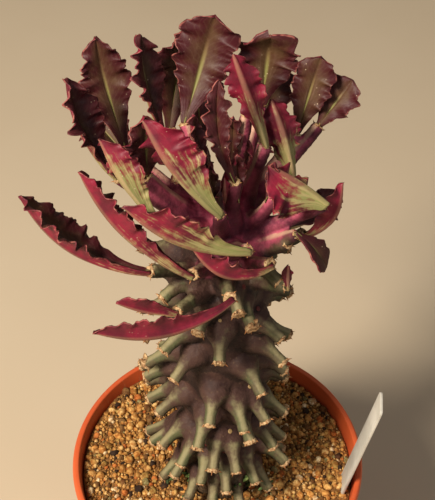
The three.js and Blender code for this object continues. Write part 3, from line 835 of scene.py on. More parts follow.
def leafUpper(skin, along, away, chance, vein, blotches):
    # dark at the margin, olive inside under a painted grey sheen, pale rib that reddens to the tip
    inside = skin.sway(skin.maths("SUBTRACT", 1, away), blotches, "oliveBlotches")
    inside = skin.sway(inside, chance, "oliveChance")
    top = skin.blend(skin.rise(inside, "oliveFrom"), "darkUpper", "oliveUpper")
    # painted sheen: a grey haze over the olive middle along the streaks, fading towards the tip
    paintedSheen = skin.times(skin.rise(vein, "sheenStreaks"), skin.rise(inside, "sheenInside"))
    paintedSheen = skin.times(paintedSheen, skin.fall(along, "sheenFades"))
    top = skin.blend(paintedSheen, top, "sheenAndVeinUpper", "sheenShare")
    # side veins leave the midrib and run forward to the margin
    forward = skin.maths("MULTIPLY_ADD", away, "veinLean", along)
    sideVein = skin.maths("MULTIPLY_ADD", forward, "veinCount", skin.times(vein, "veinWaver"))
    sideVein = skin.rise(skin.maths("SINE", sideVein), "veinFrom")
    top = skin.blend(sideVein, top, "sheenAndVeinUpper", "veinShare")
    ribWidth = skin.maths("MULTIPLY_ADD", along, "ribTaper", "ribWidth")
    rib = skin.fall(skin.maths("DIVIDE", away, ribWidth), "ribEdge")
    fading = skin.maths("SUBTRACT", "ribStrength", skin.rise(along, "ribFades"))
    rib = skin.maths("MULTIPLY", rib, fading, clamp=True)
    ribShade = skin.blend(skin.rise(along, "ribReddens"), "ribUpper", "margin", "ribRed")
    return skin.blend(rib, top, ribShade)


def leafBack(skin, along, away, green, vein, blotches, mottle):
    # crimson, broken up by green and cream streaks towards the foot and the keel, with a painted cream
    # highlight along the keel
    greenish = skin.maths("SUBTRACT", skin.maths("ADD", green, "greenAtFoot"), along)
    greenish = skin.maths("MULTIPLY_ADD", away, "greenAtEdge", greenish)
    greenish = skin.sway(greenish, vein, "greenStreaks")
    greenish = skin.sway(greenish, blotches, "greenBlotches")
    greenish = skin.sway(greenish, mottle, "greenMottle")
    red = skin.blend(skin.rise(blotches, "redFrom"), "deepCrimson", "crimson")
    back = skin.blend(skin.rise(greenish, "greenFrom"), red, "greenBack")
    cream = skin.times(skin.rise(greenish, "creamFrom"), skin.rise(vein, "creamStreaks"))
    back = skin.blend(cream, back, "creamBack", "creamShare")
    # painted highlight: a cream line along the keel
    return skin.blend(skin.fall(away, "keelHighlightWidth"), back, "creamBack", "keelHighlightShare")


def leafMaterial():
    skin = Skin("crisped leaf", leafFinish)
    names = ("along", "across", "upper", "green", "chance")
    along, across, upper, green, chance = [skin.read(name) for name in names]
    away = skin.maths("ABSOLUTE", across)
    blotches, mottle, fine = [skin.noise(name) for name in ("blotches", "mottle", "fine")]
    vein = leafStreaks(skin, along, across, chance)
    top = leafUpper(skin, along, away, chance, vein, blotches)
    back = leafBack(skin, along, away, green, vein, blotches, mottle)
    shade = skin.blend(upper, back, top)
    edge = skin.times(skin.rise(away, "edgeWidth"), skin.rise(along, "edgeFrom"))
    edge = skin.times(edge, skin.rise(mottle, "edgeMottle"))
    shade = skin.blend(edge, shade, "margin", "edgeShare")
    inputs = {"Vector": skin.place(), "Scale": leafFinish["speckScale"]}
    specks = addNode(skin.tree, "ShaderNodeTexVoronoi", inputs)
    dots = skin.fall(specks.outputs["Distance"], "speckSize")
    dots = skin.times(dots, skin.rise(blotches, "speckFrom"))
    skin.paint(skin.blend(dots, shade, "speck", "speckShare"), fine)
    skin.bump(fine, "fineBump", skin.bump(vein, "streakBump"))
    return skin.material


leaves = []
leafSkin = leafMaterial()
for number, (*values, more) in enumerate(leafTable, 1):
    leaf = {**leafDefaults, **dict(zip(leafColumns, values)), **more, "seed": number}
    leaf["waves"] = round(leaf["length"] / blade["crimpLength"])
    made = makeLeaf(leaf, f"crisped_leaf_{number:02d}")
    finished(made, leafSkin, [f"leaf_{number:02d}"])
    leaves.append(made)
print("leaves done:", sum(triangles(made) for made in leaves), "triangles")


# stem: core and tubercles swept, melted together and smoothed

stem = {
    "stand": (1.2, 0), "top": 191, "coreSides": 40, "coreRows": 60,
    "core": [(50, 4.5), (56, 8), (66, 10.4), (76, 11), (100, 11.6), (130, 11.4), (155, 10.8), (172, 9.8),
             (182, 7.6), (188, 4.6)],
    "sections": [(0, 4.8, 5), (0.25, 4.8, 4.9), (0.42, 4.5, 4.3), (0.52, 3.6, 3.3), (0.62, 2.5, 2.4),
                 (0.72, 1.85, 1.9), (0.86, 1.6, 1.65), (0.95, 1.8, 1.75), (1.0, 1.75, 1.7)],
    "crownSections": [(0, 4.2, 4.4), (0.28, 3.3, 3.3), (0.5, 2.4, 2.3), (0.72, 1.95, 1.9),
                      (0.9, 1.95, 1.9), (1.0, 1.85, 1.8)],
    "sides": 16, "rootDistance": 5, "shoulderReach": 0.68, "droopLow": 7.5, "droopHigh": 2,
    "spiralFoot": 83, "spiralTop": 170, "spiralRise": 1, "farSide": 4, "reach": 20.5, "shadeSideReach": 2.3,
    "crownSize": 0.92, "crownSag": 1.5, "crownTipGap": 0.2, "crownRootDistance": 4,
    "crownRootLow": 163, "crownRootClimb": 0.62, "crownFoot": 171,
    "budCount": 6, "budSize": 0.34, "budRing": 4.6, "budTop": 195.5, "budRoot": 6,
    "voxel": 0.62, "smoothing": 3, "wrinkle": 0.2, "wrinkles": ((0.9, 0.6), (2.1, 0.4)),
    "youngFrom": 172, "youngTo": 196, "heart": (2, 7), "heartDepth": (12, 4), "bark": (79, 90),
    "markedFrom": 0.2, "marked": 41, "easing": 3,
}

# crown tubercles that have dropped their leaves: tip (right, back, up)
bareTips = [(14, -4.5, 192), (17, -10, 182), (7, 9, 206.5)]

# old tubercles down the seen side: tip (turn, distance from the stem's axis, height)
frontTips = [
    (-46, 20, 173), (-138, 20, 166), (-77, 18, 165), (-68, 20, 161), (-160, 20, 155), (-110, 18, 157),
    (-92, 20, 149), (-36, 19, 148), (-140, 20, 145), (-38, 20.5, 140), (-130, 20, 136), (-172, 21, 140),
    (-58, 20, 132), (-165, 21.5, 131), (-15, 18, 127), (-172, 21.5, 122), (-100, 20, 122), (-72, 20, 118),
    (-50, 19, 117), (-154, 20, 113), (-174, 21, 111), (-65, 19, 111), (-110, 20, 110), (-42, 20, 103),
    (-97, 20, 101), (-78, 20, 99.5), (-150, 20, 99), (-126, 20, 98), (-20, 19, 110), (-20, 19, 98),
    (-108, 20, 93), (-60, 20, 91), (-134, 20, 90), (-86, 20, 90), (-25, 21, 89), (-170, 21, 92),
    (-45, 20, 83), (-74, 20, 82), (-98, 20, 83.5), (-120, 20, 82), (-150, 20.5, 83),
]


def stemAxis(height):
    return np.array([*stem["stand"], height], float)


def backTips():
    tips = []
    turn = 0
    height = stem["spiralFoot"]
    while height < stem["spiralTop"]:
        if math.sin(math.radians(turn + stem["farSide"])) > 0:
            reach = stem["reach"] - stem["shadeSideReach"] * math.cos(math.radians(turn))
            tips.append((turn, reach, height))
        height += stem["spiralRise"]
        turn -= goldenAngle
    return tips


def tuberclePaths():
    # each path: root, bend, tip, size, kind
    paths = []

    def addPath(turn, places, size, kind):
        # places: (distance from the stem's axis, height) of the root, the bend and the tip
        root, bend, tip = [around(turn, *place) + stemAxis(0) for place in places]
        paths.append((root, bend, tip, size, kind))

    for turn, reach, height in frontTips + backTips():
        climb = (height - stem["spiralFoot"]) / (stem["spiralTop"] - stem["spiralFoot"])
        shoulder = height + mix(stem["droopLow"], stem["droopHigh"], climb)
        bend = (stem["shoulderReach"] * reach, shoulder)
        addPath(turn, ((stem["rootDistance"], shoulder), bend, (reach, height)), 1.0, "old")
    feet = [row[0] for row in leafTable]
    for foot in feet + bareTips:
        tip = np.array(foot, float)
        turn = math.degrees(math.atan2(tip[1] - stem["stand"][1], tip[0] - stem["stand"][0]))
        rootHeight = stem["crownRootLow"] + stem["crownRootClimb"] * (tip[2] - stem["crownFoot"])
        root = around(turn, stem["crownRootDistance"], rootHeight) + stemAxis(0)
        tip = tip - unit(tip - root) * stem["crownTipGap"]
        bend = (root + tip) / 2 - np.array([0, 0, stem["crownSag"]])
        paths.append((root, bend, tip, stem["crownSize"], "leafy" if foot in feet else "bare"))
    for index in range(stem["budCount"]):
        bend = (stem["budRing"] / 2, stem["top"])
        places = ((0, stem["top"] - stem["budRoot"]), bend, (stem["budRing"], stem["budTop"]))
        addPath(index * goldenAngle, places, stem["budSize"], "bud")
    return paths


def pathPoint(path, u):
    root, bend, tip = path[:3]
    return root * (1 - u) ** 2 + bend * (2 * u * (1 - u)) + tip * u ** 2


def pathFrame(path, u):
    root, bend, tip = path[:3]
    along = unit((bend - root) * (1 - u) + (tip - bend) * u)
    side = unit(np.cross(along, np.array([0, 0, 1.0])))
    return along, side, np.cross(side, along)


def sweepTubercle(path):
    sides = stem["sides"]
    angles = np.arange(sides) * 2 * np.pi / sides
    rings = []
    for u, halfAcross, halfDeep in stem["sections" if path[4] == "old" else "crownSections"]:
        side, up = pathFrame(path, u)[1:]
        rings.append(pathPoint(path, u) + np.outer(np.cos(angles), up) * halfDeep * path[3]
                     + np.outer(np.sin(angles), side) * halfAcross * path[3])
    return np.concatenate(rings), tubeFaces(len(rings), sides)


def sweepCore():
    sides = stem["coreSides"]
    heights = np.linspace(stem["core"][0][0], stem["core"][-1][0], stem["coreRows"])
    radii = np.interp(heights, *zip(*stem["core"]))
    rings = [np.array(ringPoints(sides, r, z)) + stemAxis(0) for z, r in zip(heights, radii)]
    return np.concatenate(rings), tubeFaces(len(rings), sides)


def makeStem(paths):
    allPoints = []
    allFaces = []
    first = 0
    for points, faces in [sweepCore()] + [sweepTubercle(path) for path in paths]:
        allPoints.append(points)
        allFaces += [tuple(first + k for k in face) for face in faces]
        first += len(points)
    made = makeObject("stem_skin", np.concatenate(allPoints), allFaces)
    melt = made.modifiers.new("melt", "REMESH")
    melt.mode = "VOXEL"
    melt.voxel_size = stem["voxel"] * mm
    melt.use_smooth_shade = True
    ease = made.modifiers.new("ease", "SMOOTH")
    ease.factor = 0.5
    ease.iterations = stem["smoothing"]
    applied(made)
    markStem(made, paths)
    return made


def markStem(made, paths):
    # wrinkles the skin and writes where each point lies on its tubercle
    spots = [(path, u) for path in paths for u in np.linspace(stem["markedFrom"], 1, stem["marked"])]
    centres = np.array([pathPoint(path, u) for path, u in spots])
    ups = np.array([pathFrame(path, u)[2] for path, u in spots])
    ages = np.array([smooth(stem["youngFrom"], stem["youngTo"], path[2][2]) for path, u in spots])
    places = np.array([u for path, u in spots])
    tree = kdtree.KDTree(len(spots))
    for index, centre in enumerate(centres.tolist()):
        tree.insert(centre, index)
    tree.balance()
    mesh = made.data
    here = np.empty(3 * len(mesh.vertices), np.float32)
    outward = np.empty(3 * len(mesh.vertices), np.float32)
    mesh.vertices.foreach_get("co", here)
    mesh.vertices.foreach_get("normal", outward)
    here = here.reshape(-1, 3) / mm
    nearest = np.empty(len(here), np.int32)
    ripple = np.empty(len(here))
    for index, place in enumerate(here.tolist()):
        spot = Vector(place)
        nearest[index] = tree.find(spot)[1]
        ripple[index] = sum(noise.noise(spot * scale) * depth for scale, depth in stem["wrinkles"])
    moved = here + outward.reshape(-1, 3) * (stem["wrinkle"] * ripple)[:, None]
    mesh.vertices.foreach_set("co", (moved * mm).astype(np.float32).ravel())
    fromAxis = np.hypot(*(here[:, :2] - np.array(stem["stand"])).T)
    low, high = [stem["top"] - depth for depth in stem["heartDepth"]]
    shades = {
        "along": places[nearest],
        "ridge": (unit(here - centres[nearest]) * ups[nearest]).sum(axis=1),
        "young": ages[nearest],
        "heart": (1 - smooth(*stem["heart"], fromAxis)) * smooth(low, high, here[:, 2]),
        "bark": 1 - smooth(*stem["bark"], here[:, 2]),
    }
    # each point takes on a share of its neighbours' values
    ends = np.empty(2 * len(mesh.edges), np.int32)
    mesh.edges.foreach_get("vertices", ends)
    others = ends.reshape(-1, 2)[:, ::-1].ravel()
    neighbours = np.bincount(ends, minlength=len(here))
    for name, values in shades.items():
        for _ in range(stem["easing"]):
            nearby = np.bincount(ends, values[others], len(here)) / np.maximum(neighbours, 1)
            values = (values + nearby) / 2
        writeAttribute(mesh, name, values)
    mesh.update()


stemFinish = {
    # core and shoulder: the stem's own dark purple-brown, deepened further as painted shade between the
    # tubercles
    "core": colour(48, 30, 28), "shoulder": colour(70, 48, 42), "finger": colour(90, 80, 58),
    "mossy": colour(82, 84, 56), "highlightStripe": colour(148, 138, 102), "crownDark": colour(104, 38, 58),
    "crown": colour(184, 84, 106), "crownRidgeHighlight": colour(208, 168, 142), "apex": colour(160, 24, 66),
    "crownHollowShade": colour(44, 14, 26), "hollowShade": colour(22, 14, 14),
    "bark": colour(112, 90, 66), "barkDark": colour(58, 44, 34), "dust": colour(140, 116, 88),
    "roughness": 0.6, "specular": 0.2, "roughSpread": 0.35, "roughLeast": 0.42,
    "blotches": (160, 5, 0.6), "patches": (420, 4, 0.6), "fine": (1500, 4, 0.65),
    "farBlotches": 0.7, "farPatches": 0.35, "shoulderFrom": (0.2, 0.5), "mossyFrom": (0.45, 0.6),
    "fingerFrom": (0.5, 0.85), "highlightRidge": (0.7, 0.98), "highlightFrom": (0.5, 0.8), "highlightShare": 0.75,
    "shadePatches": 0.5, "hollowShadeTo": (-0.4, 0.6), "hollowShadeShare": 0.75, "crownFrom": (0.38, 0.6),
    "crownShadeTo": (-0.1, 0.85), "crownShadeShare": 0.75, "crownHighlightWidth": (0.72, 0.98),
    "crownHighlightFrom": (0.35, 0.75), "crownHighlightShare": 0.85, "barkGrain": (0.4, 0.62), "barkPatches": 1.2,
    "barkFrom": (0.35, 0.75), "barkShare": 0.8, "ageBlotches": 0.8, "youngFrom": (0.2, 0.6),
    "dustFrom": (0.56, 0.72), "dustShare": 0.22, "patchBump": (0.55, 0.0009), "fineBump": (0.45, 0.0004),
}


def stemMaterial():
    skin = Skin("tubercle skin", stemFinish)
    names = ("along", "ridge", "young", "heart", "bark")
    along, ridge, young, heart, barky = [skin.read(name) for name in names]
    blotches, patches, fine = [skin.noise(name) for name in ("blotches", "patches", "fine")]
    # old tubercles: dark core, grey-green fingers with a painted highlight as a pale stripe along the ridge
    far = skin.sway(skin.sway(along, blotches, "farBlotches"), patches, "farPatches")
    # the core and shoulder are the stem's own dark purple-brown, darkened further as painted shade in the
    # crevices between the tubercles
    old = skin.blend(skin.rise(far, "shoulderFrom"), "core", "shoulder")
    finger = skin.blend(skin.rise(blotches, "mossyFrom"), "finger", "mossy")
    old = skin.blend(skin.rise(far, "fingerFrom"), old, finger)
    # painted highlight: the upward-facing top of each finger is painted pale
    highlightStripe = skin.times(skin.rise(ridge, "highlightRidge"), skin.rise(far, "highlightFrom"))
    old = skin.blend(highlightStripe, old, "highlightStripe", "highlightShare")
    # painted shade: the sides of each tubercle darken towards the hollows between them
    low = skin.sway(ridge, patches, "shadePatches")
    old = skin.blend(skin.fall(low, "hollowShadeTo"), old, "hollowShade", "hollowShadeShare")
    # the crown: pink, with painted shade down the sides and a painted cream highlight along the ridges,
    # reddest at the growing point
    fresh = skin.blend(skin.rise(blotches, "crownFrom"), "crownDark", "crown")
    # painted shade on the sides of the crown tubercles
    fresh = skin.blend(skin.fall(low, "crownShadeTo"), fresh, "crownHollowShade", "crownShadeShare")
    fresh = skin.blend(heart, fresh, "apex")
    # painted highlight: a cream line along the top of each crown tubercle
    lit = skin.times(skin.rise(ridge, "crownHighlightWidth"), skin.rise(far, "crownHighlightFrom"))
    fresh = skin.blend(lit, fresh, "crownRidgeHighlight", "crownHighlightShare")
    # bark low on the stem, young skin above
    bark = skin.blend(skin.rise(fine, "barkGrain"), "barkDark", "bark")
    barky = skin.rise(skin.sway(barky, patches, "barkPatches"), "barkFrom")
    old = skin.blend(barky, old, bark, "barkShare")
    age = skin.sway(young, blotches, "ageBlotches")
    shade = skin.blend(skin.rise(age, "youngFrom"), old, fresh)
    shade = skin.blend(skin.rise(fine, "dustFrom"), shade, "dust", "dustShare")
    skin.paint(shade, fine)
    skin.bump(fine, "fineBump", skin.bump(patches, "patchBump"))
    return skin.material


paths = tuberclePaths()
stemObject = finished(makeStem(paths), stemMaterial(), ["stem"])
print("stem done:", triangles(stemObject), "triangles")


# scars: the ragged corky ends with short teeth, one on each bare tip

scars = {
    "size": 3.1, "leafySize": 2.7, "sunk": 0.05, "leafySunk": 0.35, "uneven": 0.22, "patchScale": 0.31,
    "seed": 5, "shapes": 6, "shapeSeed": 40, "sides": 14, "ragged": (0.86, 1.14), "rise": (-0.05, 0.07),
    "profile": [(0.42, -0.25), (0.52, -0.05), (0.55, 0.12), (0.42, 0.2), (0.24, 0.12)],
    "poles": (-0.3, 0.16), "teeth": 4, "toothFoot": (0.48, 0.05), "toothTurn": 0.3, "toothLean": 0.8,
    "toothRise": (0.2, 0.9), "toothWidth": 0.09, "toothLength": (0.28, 0.5), "tints": (0.35, 0.9),
}
scarFinish = {
    "stops": [(0.3, colour(98, 66, 44)), (0.46, colour(158, 122, 86)), (0.62, colour(204, 174, 132))],
    "tintedStops": [(0.35, colour(124, 74, 44)), (0.6, colour(186, 132, 86))], "tintFrom": (0.5, 0.8),
    "roughness": 0.85, "specular": 0.25, "crumbs": (1400, 4, 0.65), "bump": (0.7, 0.0005),
}


def scarShape(index):
    # a crumbly cup 1 mm wide with a few short teeth on its edge
    draw = random.Random(scars["shapeSeed"] + index)
    sides = scars["sides"]
    cup, tooth = scars["tints"]
    points = []
    for row, (r, z) in enumerate(scars["profile"]):
        for j in range(sides):
            rough = draw.uniform(*scars["ragged"])
            points.append(around(360 * j / sides, r * rough, z + draw.uniform(*scars["rise"]) * (row > 0)))
    points += [np.array([0, 0, height]) for height in scars["poles"]]
    faces = poleFaces(len(scars["profile"]), sides)
    tint = [cup] * len(points)
    for number in range(scars["teeth"]):
        turn = 360 * (number + draw.uniform(-scars["toothTurn"], scars["toothTurn"])) / scars["teeth"]
        foot = around(turn, *scars["toothFoot"])
        way = unit(around(turn, scars["toothLean"], draw.uniform(*scars["toothRise"])))
        side = unit(np.cross(way, np.array([0, 0, 1.0])))
        up = np.cross(side, way)
        base = len(points)
        for j in range(4):
            a = math.pi / 2 * j
            points.append(foot + (side * math.cos(a) + up * math.sin(a)) * scars["toothWidth"])
        points.append(foot + way * draw.uniform(*scars["toothLength"]))
        tint += [tooth] * 5
        faces.append((base + 3, base + 2, base + 1, base))
        faces += [(base + j, base + (j + 1) % 4, base + 4) for j in range(4)]
    return makeObject(f"scar_{index}", points, faces, {"tint": tint})


def tipTree(name):
    # one shape on each point, standing along the way the point faces
    tree, start, end = newTree(name, {
        "Seed": ("NodeSocketInt", 0), "Shapes": ("NodeSocketCollection", None),
        "Material": ("NodeSocketMaterial", None),
    })
    given = start.outputs
    read = "GeometryNodeInputNamedAttribute"
    facing = addNode(tree, read, data_type="FLOAT_VECTOR", inputs={"Name": "facing"}).outputs[0]
    size = addNode(tree, read, data_type="FLOAT", inputs={"Name": "size"}).outputs[0]
    stand = addNode(tree, "FunctionNodeAlignRotationToVector", {"Vector": facing}, axis="Z").outputs[0]
    put = pickedShapes(tree, given["Shapes"], given["Geometry"], stand, size)
    spin = addNode(tree, "GeometryNodeRotateInstances", {
        "Instances": put, "Local Space": True, "Rotation": randomTurn(tree, given["Seed"], (0, 0, 6.28)),
    })
    return endTree(tree, end, spin.outputs[0], given["Material"])


def setOnTips(name, spots, shapes, seed, material):
    # spots: (place in mm, facing, size)
    places, facings, sizes = zip(*spots)
    made = makeObject(name, places, [], {"facing": facings, "size": sizes})
    runWithShapes(made, tipTree("set " + name), shapes, {"Seed": seed, "Material": material})
    return made


def makeScars(paths):
    spots = []
    for path in paths:
        if path[4] == "bud":
            continue
        leafy = path[4] == "leafy"
        along = pathFrame(path, 1.0)[0]
        size = scars["leafySize" if leafy else "size"] * path[3]
        size *= 1 + scars["uneven"] * noise.noise(Vector(path[2]) * scars["patchScale"]) * 2
        spots.append((path[2] - along * scars["leafySunk" if leafy else "sunk"], along, size))
    shapes = [scarShape(k) for k in range(scars["shapes"])]
    skin = crumblyMaterial("corky scar", scarFinish)
    return setOnTips("tubercle_scars", spots, shapes, scars["seed"], skin)


scarObject = finished(makeScars(paths))
print("scars done:", triangles(scarObject), "triangles")


# flower marks: small raised discs where old flowers fell, on the shoulders of the tubercles

marks = {
    "share": 0.4, "size": 1.4, "sizes": (0.7, 1.1), "along": 0.4, "reach": 5, "seed": 17, "sides": 10,
    "profile": [(0.5, -0.2), (0.48, 0.06), (0.32, 0.16), (0.14, 0.08)],
}
markFinish = {
    "stops": [(0, colour(74, 30, 28)), (1, colour(118, 50, 44))],
    "tintedStops": [(0, colour(120, 92, 60)), (1, colour(176, 148, 100))], "tintFrom": (0.4, 0.6),
    "roughness": 0.6, "specular": 0.35, "crumbs": (900, 3, 0.55), "bump": (0.3, 0.0003),
}


def markShape(index):
    # a shallow dimpled button, 1 mm across
    points = [point for r, z in marks["profile"] for point in ringPoints(marks["sides"], r, z)]
    faces = tubeFaces(len(marks["profile"]), marks["sides"])
    return makeObject(f"mark_{index}", points, faces, {"tint": [index] * len(points)})


def onSkin(point):
    # the nearest point of the stem's skin, in mm, and the way the skin faces there
    found, place, outward, face = stemObject.closest_point_on_mesh(Vector(point) * mm)
    return np.array(place) / mm, np.array(outward)

def makeMarks(paths):
    draw = random.Random(marks["seed"])
    spots = []
    for path in paths:
        if path[4] != "old" or draw.random() > marks["share"]:
            continue
        up = pathFrame(path, marks["along"])[2]
        place, outward = onSkin(pathPoint(path, marks["along"]) + up * marks["reach"])
        spots.append((place, outward, marks["size"] * draw.uniform(*marks["sizes"])))
    shapes = [markShape(0), markShape(1)]
    skin = crumblyMaterial("flower mark", markFinish)
    return setOnTips("flower_marks", spots, shapes, marks["seed"], skin)


markObject = finished(makeMarks(paths))
print("flower marks done:", triangles(markObject), "triangles")


# young leaves and dried ones
# young: small crisped leaves round the growing point; dried: shrivelled brown curls left on a few tips

youngColumns = ("foot", "way", "face", "length", "width", "fold", "green")
youngTable = [
    ((-1.5, -4, 193), (-150, 68), (30, 20), 11, 4.4, 50, 0.1),
    ((4.5, -2, 194.5), (-60, 70), (120, 20), 10, 4, 50, 0.5),
    ((2.5, 3.5, 195), (80, 72), (-100, 20), 14, 5, 45, 0.1),
    ((-2.5, 2, 195), (150, 70), (-30, 20), 16, 5.5, 45, 0.1),
    ((1, -5.5, 193), (-95, 66), (85, 20), 9, 3.8, 50, 0.4),
    ((5, 1, 195), (10, 72), (-170, 20), 11, 4.2, 50, 0.2),
    ((6, -8, 193), (100, 76), (-80, 20), 13, 4.8, 45, 0.3),
    ((3, -10, 192), (150, 66), (-50, 30), 14, 4.6, 50, 0.1),
    ((9, -5, 193), (50, 70), (-120, 20), 11, 4.4, 50, 0.5),
    ((-4, -8, 193), (120, 80), (-70, 20), 15, 5, 50, 0.1),
]
youngDefaults = {**leafDefaults, "bow": 1, "hook": 1.5, "waves": 3}
youngSeed = 41

driedTable = [    # path, way, length, width
    (13, (-20, 40), 9, 3.2),
    (2, (-80, -10), 6, 2.6),
    (3, (-40, 10), 8, 3.0),
    (6, (-100, -30), 5, 2.4),
    (7, (-20, 60), 7, 1.6),
    (50, (60, 10), 8, 3),
    (60, (140, 20), 7, 2.6),
    (66, (100, -20), 6, 2.4),
]
dried = {
    "rows": 22, "columns": 7, "sunk": 0.6, "roll": 3.6, "rollPower": 1.4, "drawnIn": 0.62, "foot": 0.35,
    "widest": (0.15, 0.8), "cup": 0.4, "narrowed": 0.3, "shrivel": 0.35, "halfThick": 0.16,
}
driedFinish = {
    "stops": [(0.3, colour(84, 56, 38)), (0.48, colour(150, 112, 76)), (0.62, colour(206, 176, 132))],
    "roughness": 0.8, "specular": 0.25, "crumbs": (520, 5, 0.65), "bump": (0.6, 0.0006),
}


def joined(name, parts):
    # several meshes as one
    work = bmesh.new()
    for part in parts:
        work.from_mesh(part.data)
        bpy.data.objects.remove(part)
    mesh = bpy.data.meshes.new(name)
    work.to_mesh(mesh)
    work.free()
    return linked(name, mesh)


def makeYoungLeaves():
    parts = []
    for number, row in enumerate(youngTable):
        leaf = {**youngDefaults, **dict(zip(youngColumns, row)), "seed": youngSeed + number}
        leaf["foot"] = onSkin(leaf["foot"])[0]
        parts.append(makeLeaf(leaf, f"young_{number}"))
    return joined("young_leaves", parts)


def driedCurl(number, tip, way, length, width):
    # a strip that rolls up on itself along its length and shrivels at its edges
    along = heading(*way)
    side = unit(np.cross(along, np.array([0, 0, 1.0])))
    up = np.cross(side, along)
    rows = dried["rows"]
    columns = dried["columns"]
    points = []
    for face in (1, -1):
        for i in range(rows):
            t = i / (rows - 1)
            roll = dried["roll"] * t ** dried["rollPower"]
            run = length * t * dried["drawnIn"]
            middle = paths[tip][2] + along * (run * math.cos(roll * 0.5) - dried["sunk"])
            middle = middle + up * (run * math.sin(roll) * 0.5)
            start, span = dried["widest"]
            wide = width * mix(dried["foot"], 1, math.sin(math.pi * min(1, start + t * span)))
            for j in range(columns):
                s = 2 * j / (columns - 1) - 1
                shrivel = dried["shrivel"] * noise.noise(Vector((4 * t, 2 * s, 7 * number + 3)))
                sideways = s * wide / 2 * (1 - dried["narrowed"] * abs(s))
                upward = dried["cup"] * s * s * width + shrivel + dried["halfThick"] * face
                points.append(middle + side * sideways + up * upward)
    made = makeObject(f"dried_{number}", points, sheetFaces(rows, columns))
    work = bmesh.new()
    work.from_mesh(made.data)
    bmesh.ops.recalc_face_normals(work, faces=work.faces)
    work.to_mesh(made.data)
    work.free()
    return made


youngLeaves = finished(makeYoungLeaves(), leafSkin)
curls = [driedCurl(number, *row) for number, row in enumerate(driedTable)]
driedSkin = crumblyMaterial("dried leaf", driedFinish)
driedLeaves = finished(joined("dried_leaves", curls), driedSkin)
print("young and dried leaves done:", triangles(youngLeaves) + triangles(driedLeaves), "triangles")


# moss: short green tufts low on the stem

moss = {
    "spots": [(3.8, -14, 85), (13.6, -9.5, 77), (-12, -10, 76)], "spread": 1.7, "tufts": 56, "seed": 9,
    "height": (1.0, 2.6), "thick": 0.55, "lean": 0.35, "upright": 0.9, "sides": 6,
    "rings": ((-0.2, 0.7), (0.55, 1.0), (0.9, 0.5)),    # share of the height, share of the thickness
}
mossFinish = {
    "stops": [(0.35, colour(48, 62, 32)), (0.55, colour(82, 102, 50)), (0.7, colour(122, 134, 74))],
    "roughness": 0.75, "specular": 0.3, "crumbs": (500, 4, 0.55), "bump": (0.3, 0.0003),
}


def makeMoss():
    draw = random.Random(moss["seed"])
    sides = moss["sides"]
    rings = len(moss["rings"])
    last = (rings - 1) * sides
    points = []
    faces = []
    for spot in moss["spots"]:
        for _ in range(moss["tufts"]):
            foot, outward = onSkin([value + draw.gauss(0, moss["spread"]) for value in spot])
            if foot[2] < gritHeight(foot[0], foot[1]):
                continue
            lean = np.array([draw.gauss(0, moss["lean"]), draw.gauss(0, moss["lean"]), moss["upright"]])
            way = unit(outward + lean)
            side = unit(np.cross(way, np.array([1.0, 0.3, 0])))
            other = np.cross(side, way)
            tall = draw.uniform(*moss["height"])
            base = len(points)
            for share, thick in moss["rings"]:
                for j in range(sides):
                    a = 2 * math.pi * j / sides
                    spoke = (side * math.cos(a) + other * math.sin(a)) * thick * moss["thick"]
                    points.append(foot + way * (tall * share) + spoke)
            points.append(foot + way * tall)
            faces += ringFaces(rings, sides, base)
            faces.append(tuple(base + j for j in reversed(range(sides))))
            for j in range(sides):
                faces.append((base + last + j, base + last + (j + 1) % sides, base + last + sides))
    return makeObject("moss", points, faces)


mossObject = finished(makeMoss(), crumblyMaterial("moss", mossFinish))
print("moss done:", triangles(mossObject), "triangles")


# label: a narrow blank strip of white plastic, painted a greyer white as painted shade

label = {
    "width": 7.4, "length": 76, "buried": 27, "thickness": 0.8, "point": 9, "pointHalf": 0.5,
    "corner": 1.2, "cornerSteps": 4, "bevel": 0.18, "bevelSteps": 2, "sharpFrom": 30,
    "stand": (39, -6.8, 75), "lean": (0.13, -0.12, 0.985), "across": (0.07, 1, 0),
}
labelFinish = {
    "wornAndShaded": colour(186, 182, 172), "white": colour(204, 200, 190), "grime": colour(160, 140, 110),
    "roughness": 0.45, "specular": 0.4, "roughSpread": 0.3, "roughLeast": 0.3,
    "clouds": (90, 4, 0.55), "whiteFrom": (0.4, 0.65), "specks": (500, 4, 0.7), "grimeFrom": (0.55, 0.75),
    "grimeShare": 0.3, "bump": (0.1, 0.0003),
}


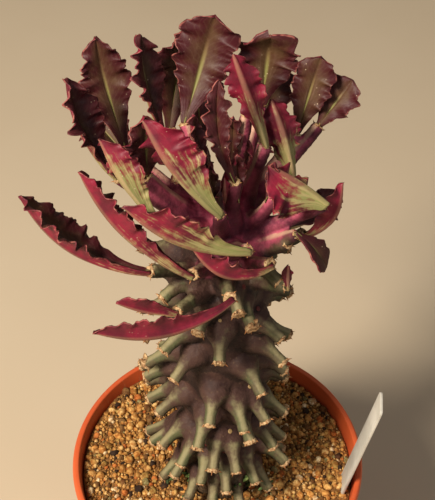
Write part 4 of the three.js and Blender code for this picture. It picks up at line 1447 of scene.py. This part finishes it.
def makeLabel():
    half = label["width"] / 2
    foot = -label["buried"]
    top = label["length"] - label["buried"]
    corner = label["corner"]
    outline = [(-half, foot + label["point"]), (-label["pointHalf"], foot), (label["pointHalf"], foot),
               (half, foot + label["point"])]
    for hand, start in ((1, 0), (-1, 90)):
        for k in range(label["cornerSteps"] + 1):
            a = math.radians(start + 90 * k / label["cornerSteps"])
            x = hand * (half - corner) + corner * math.cos(a)
            outline.append((x, top - corner + corner * math.sin(a)))
    long = unit(np.array(label["lean"], float))
    wide = np.array(label["across"], float)
    wide = unit(wide - long * wide.dot(long))
    thick = np.cross(wide, long) * label["thickness"] / 2
    stand = np.array(label["stand"])
    points = [stand + wide * x + long * y + thick * face for face in (1, -1) for x, y in outline]
    count = len(outline)
    faces = [tuple(range(count)), tuple(reversed(range(count, 2 * count)))]
    for j in range(count):
        k = (j + 1) % count
        faces.append((j, count + j, count + k, k))
    made = makeObject("label_strip", points, faces)
    edge = made.modifiers.new("edge", "BEVEL")
    edge.width = label["bevel"] * mm
    edge.segments = label["bevelSteps"]
    edge.limit_method = "ANGLE"
    applied(made)
    made.data.set_sharp_from_angle(angle=math.radians(label["sharpFrom"]))
    return made


def labelMaterial():
    skin = Skin("white label plastic", labelFinish)
    grime = skin.noise("specks")
    # the whites are painted greyer than the plastic, as painted shade; clouds mix the two at random
    shade = skin.blend(skin.rise(skin.noise("clouds"), "whiteFrom"), "wornAndShaded", "white")
    skin.paint(skin.blend(skin.rise(grime, "grimeFrom"), shade, "grime", "grimeShare"), grime)
    skin.bump(grime, "bump")
    return skin.material


finished(makeLabel(), labelMaterial(), ["label"])
print("label done")


# floor and light: a plain pale floor, a soft key from the upper left, a weak fill

studio = {
    "floorSize": 6, "aim": (0, 0, 0.12), "sky": 0.17, "skyTone": (1.0, 0.95, 0.88, 1),
    "key": {"power": 12.5, "size": 0.22, "place": (-0.42, -0.4, 0.72), "tone": (1.0, 0.9, 0.76)},
    "fill": {"power": 1.2, "size": 0.8, "place": (0.6, -0.5, 0.5), "tone": (0.95, 0.95, 1.0)},
}
floorFinish = {
    "pale": colour(206, 190, 166), "dark": colour(196, 178, 152), "clouds": (9, 3, 0.55),
    "roughness": 0.8, "specular": 0.2,
}


def areaLight(name):
    given = studio[name]
    data = bpy.data.lights.new(name, "AREA")
    data.energy = given["power"]
    data.size = given["size"]
    data.color = given["tone"]
    made = linked(name, data)
    made.location = given["place"]
    towards = Vector(studio["aim"]) - Vector(given["place"])
    made.rotation_euler = towards.to_track_quat("-Z", "Y").to_euler()


def makeStudio():
    bpy.ops.mesh.primitive_plane_add(size=studio["floorSize"], location=(0, 0, 0))
    floor = bpy.context.object
    floor.name = "floor"
    skin = Skin("pale floor", floorFinish)
    skin.paint(skin.blend(skin.noise("clouds"), "pale", "dark"))
    floor.data.materials.append(skin.material)
    areaLight("key")
    areaLight("fill")
    world = bpy.data.worlds.new("studio")
    world.use_nodes = True
    world.node_tree.nodes["Background"].inputs["Color"].default_value = studio["skyTone"]
    world.node_tree.nodes["Background"].inputs["Strength"].default_value = studio["sky"]
    scene.world = world


makeStudio()
scene.view_settings.view_transform = "Standard"
print("studio done")
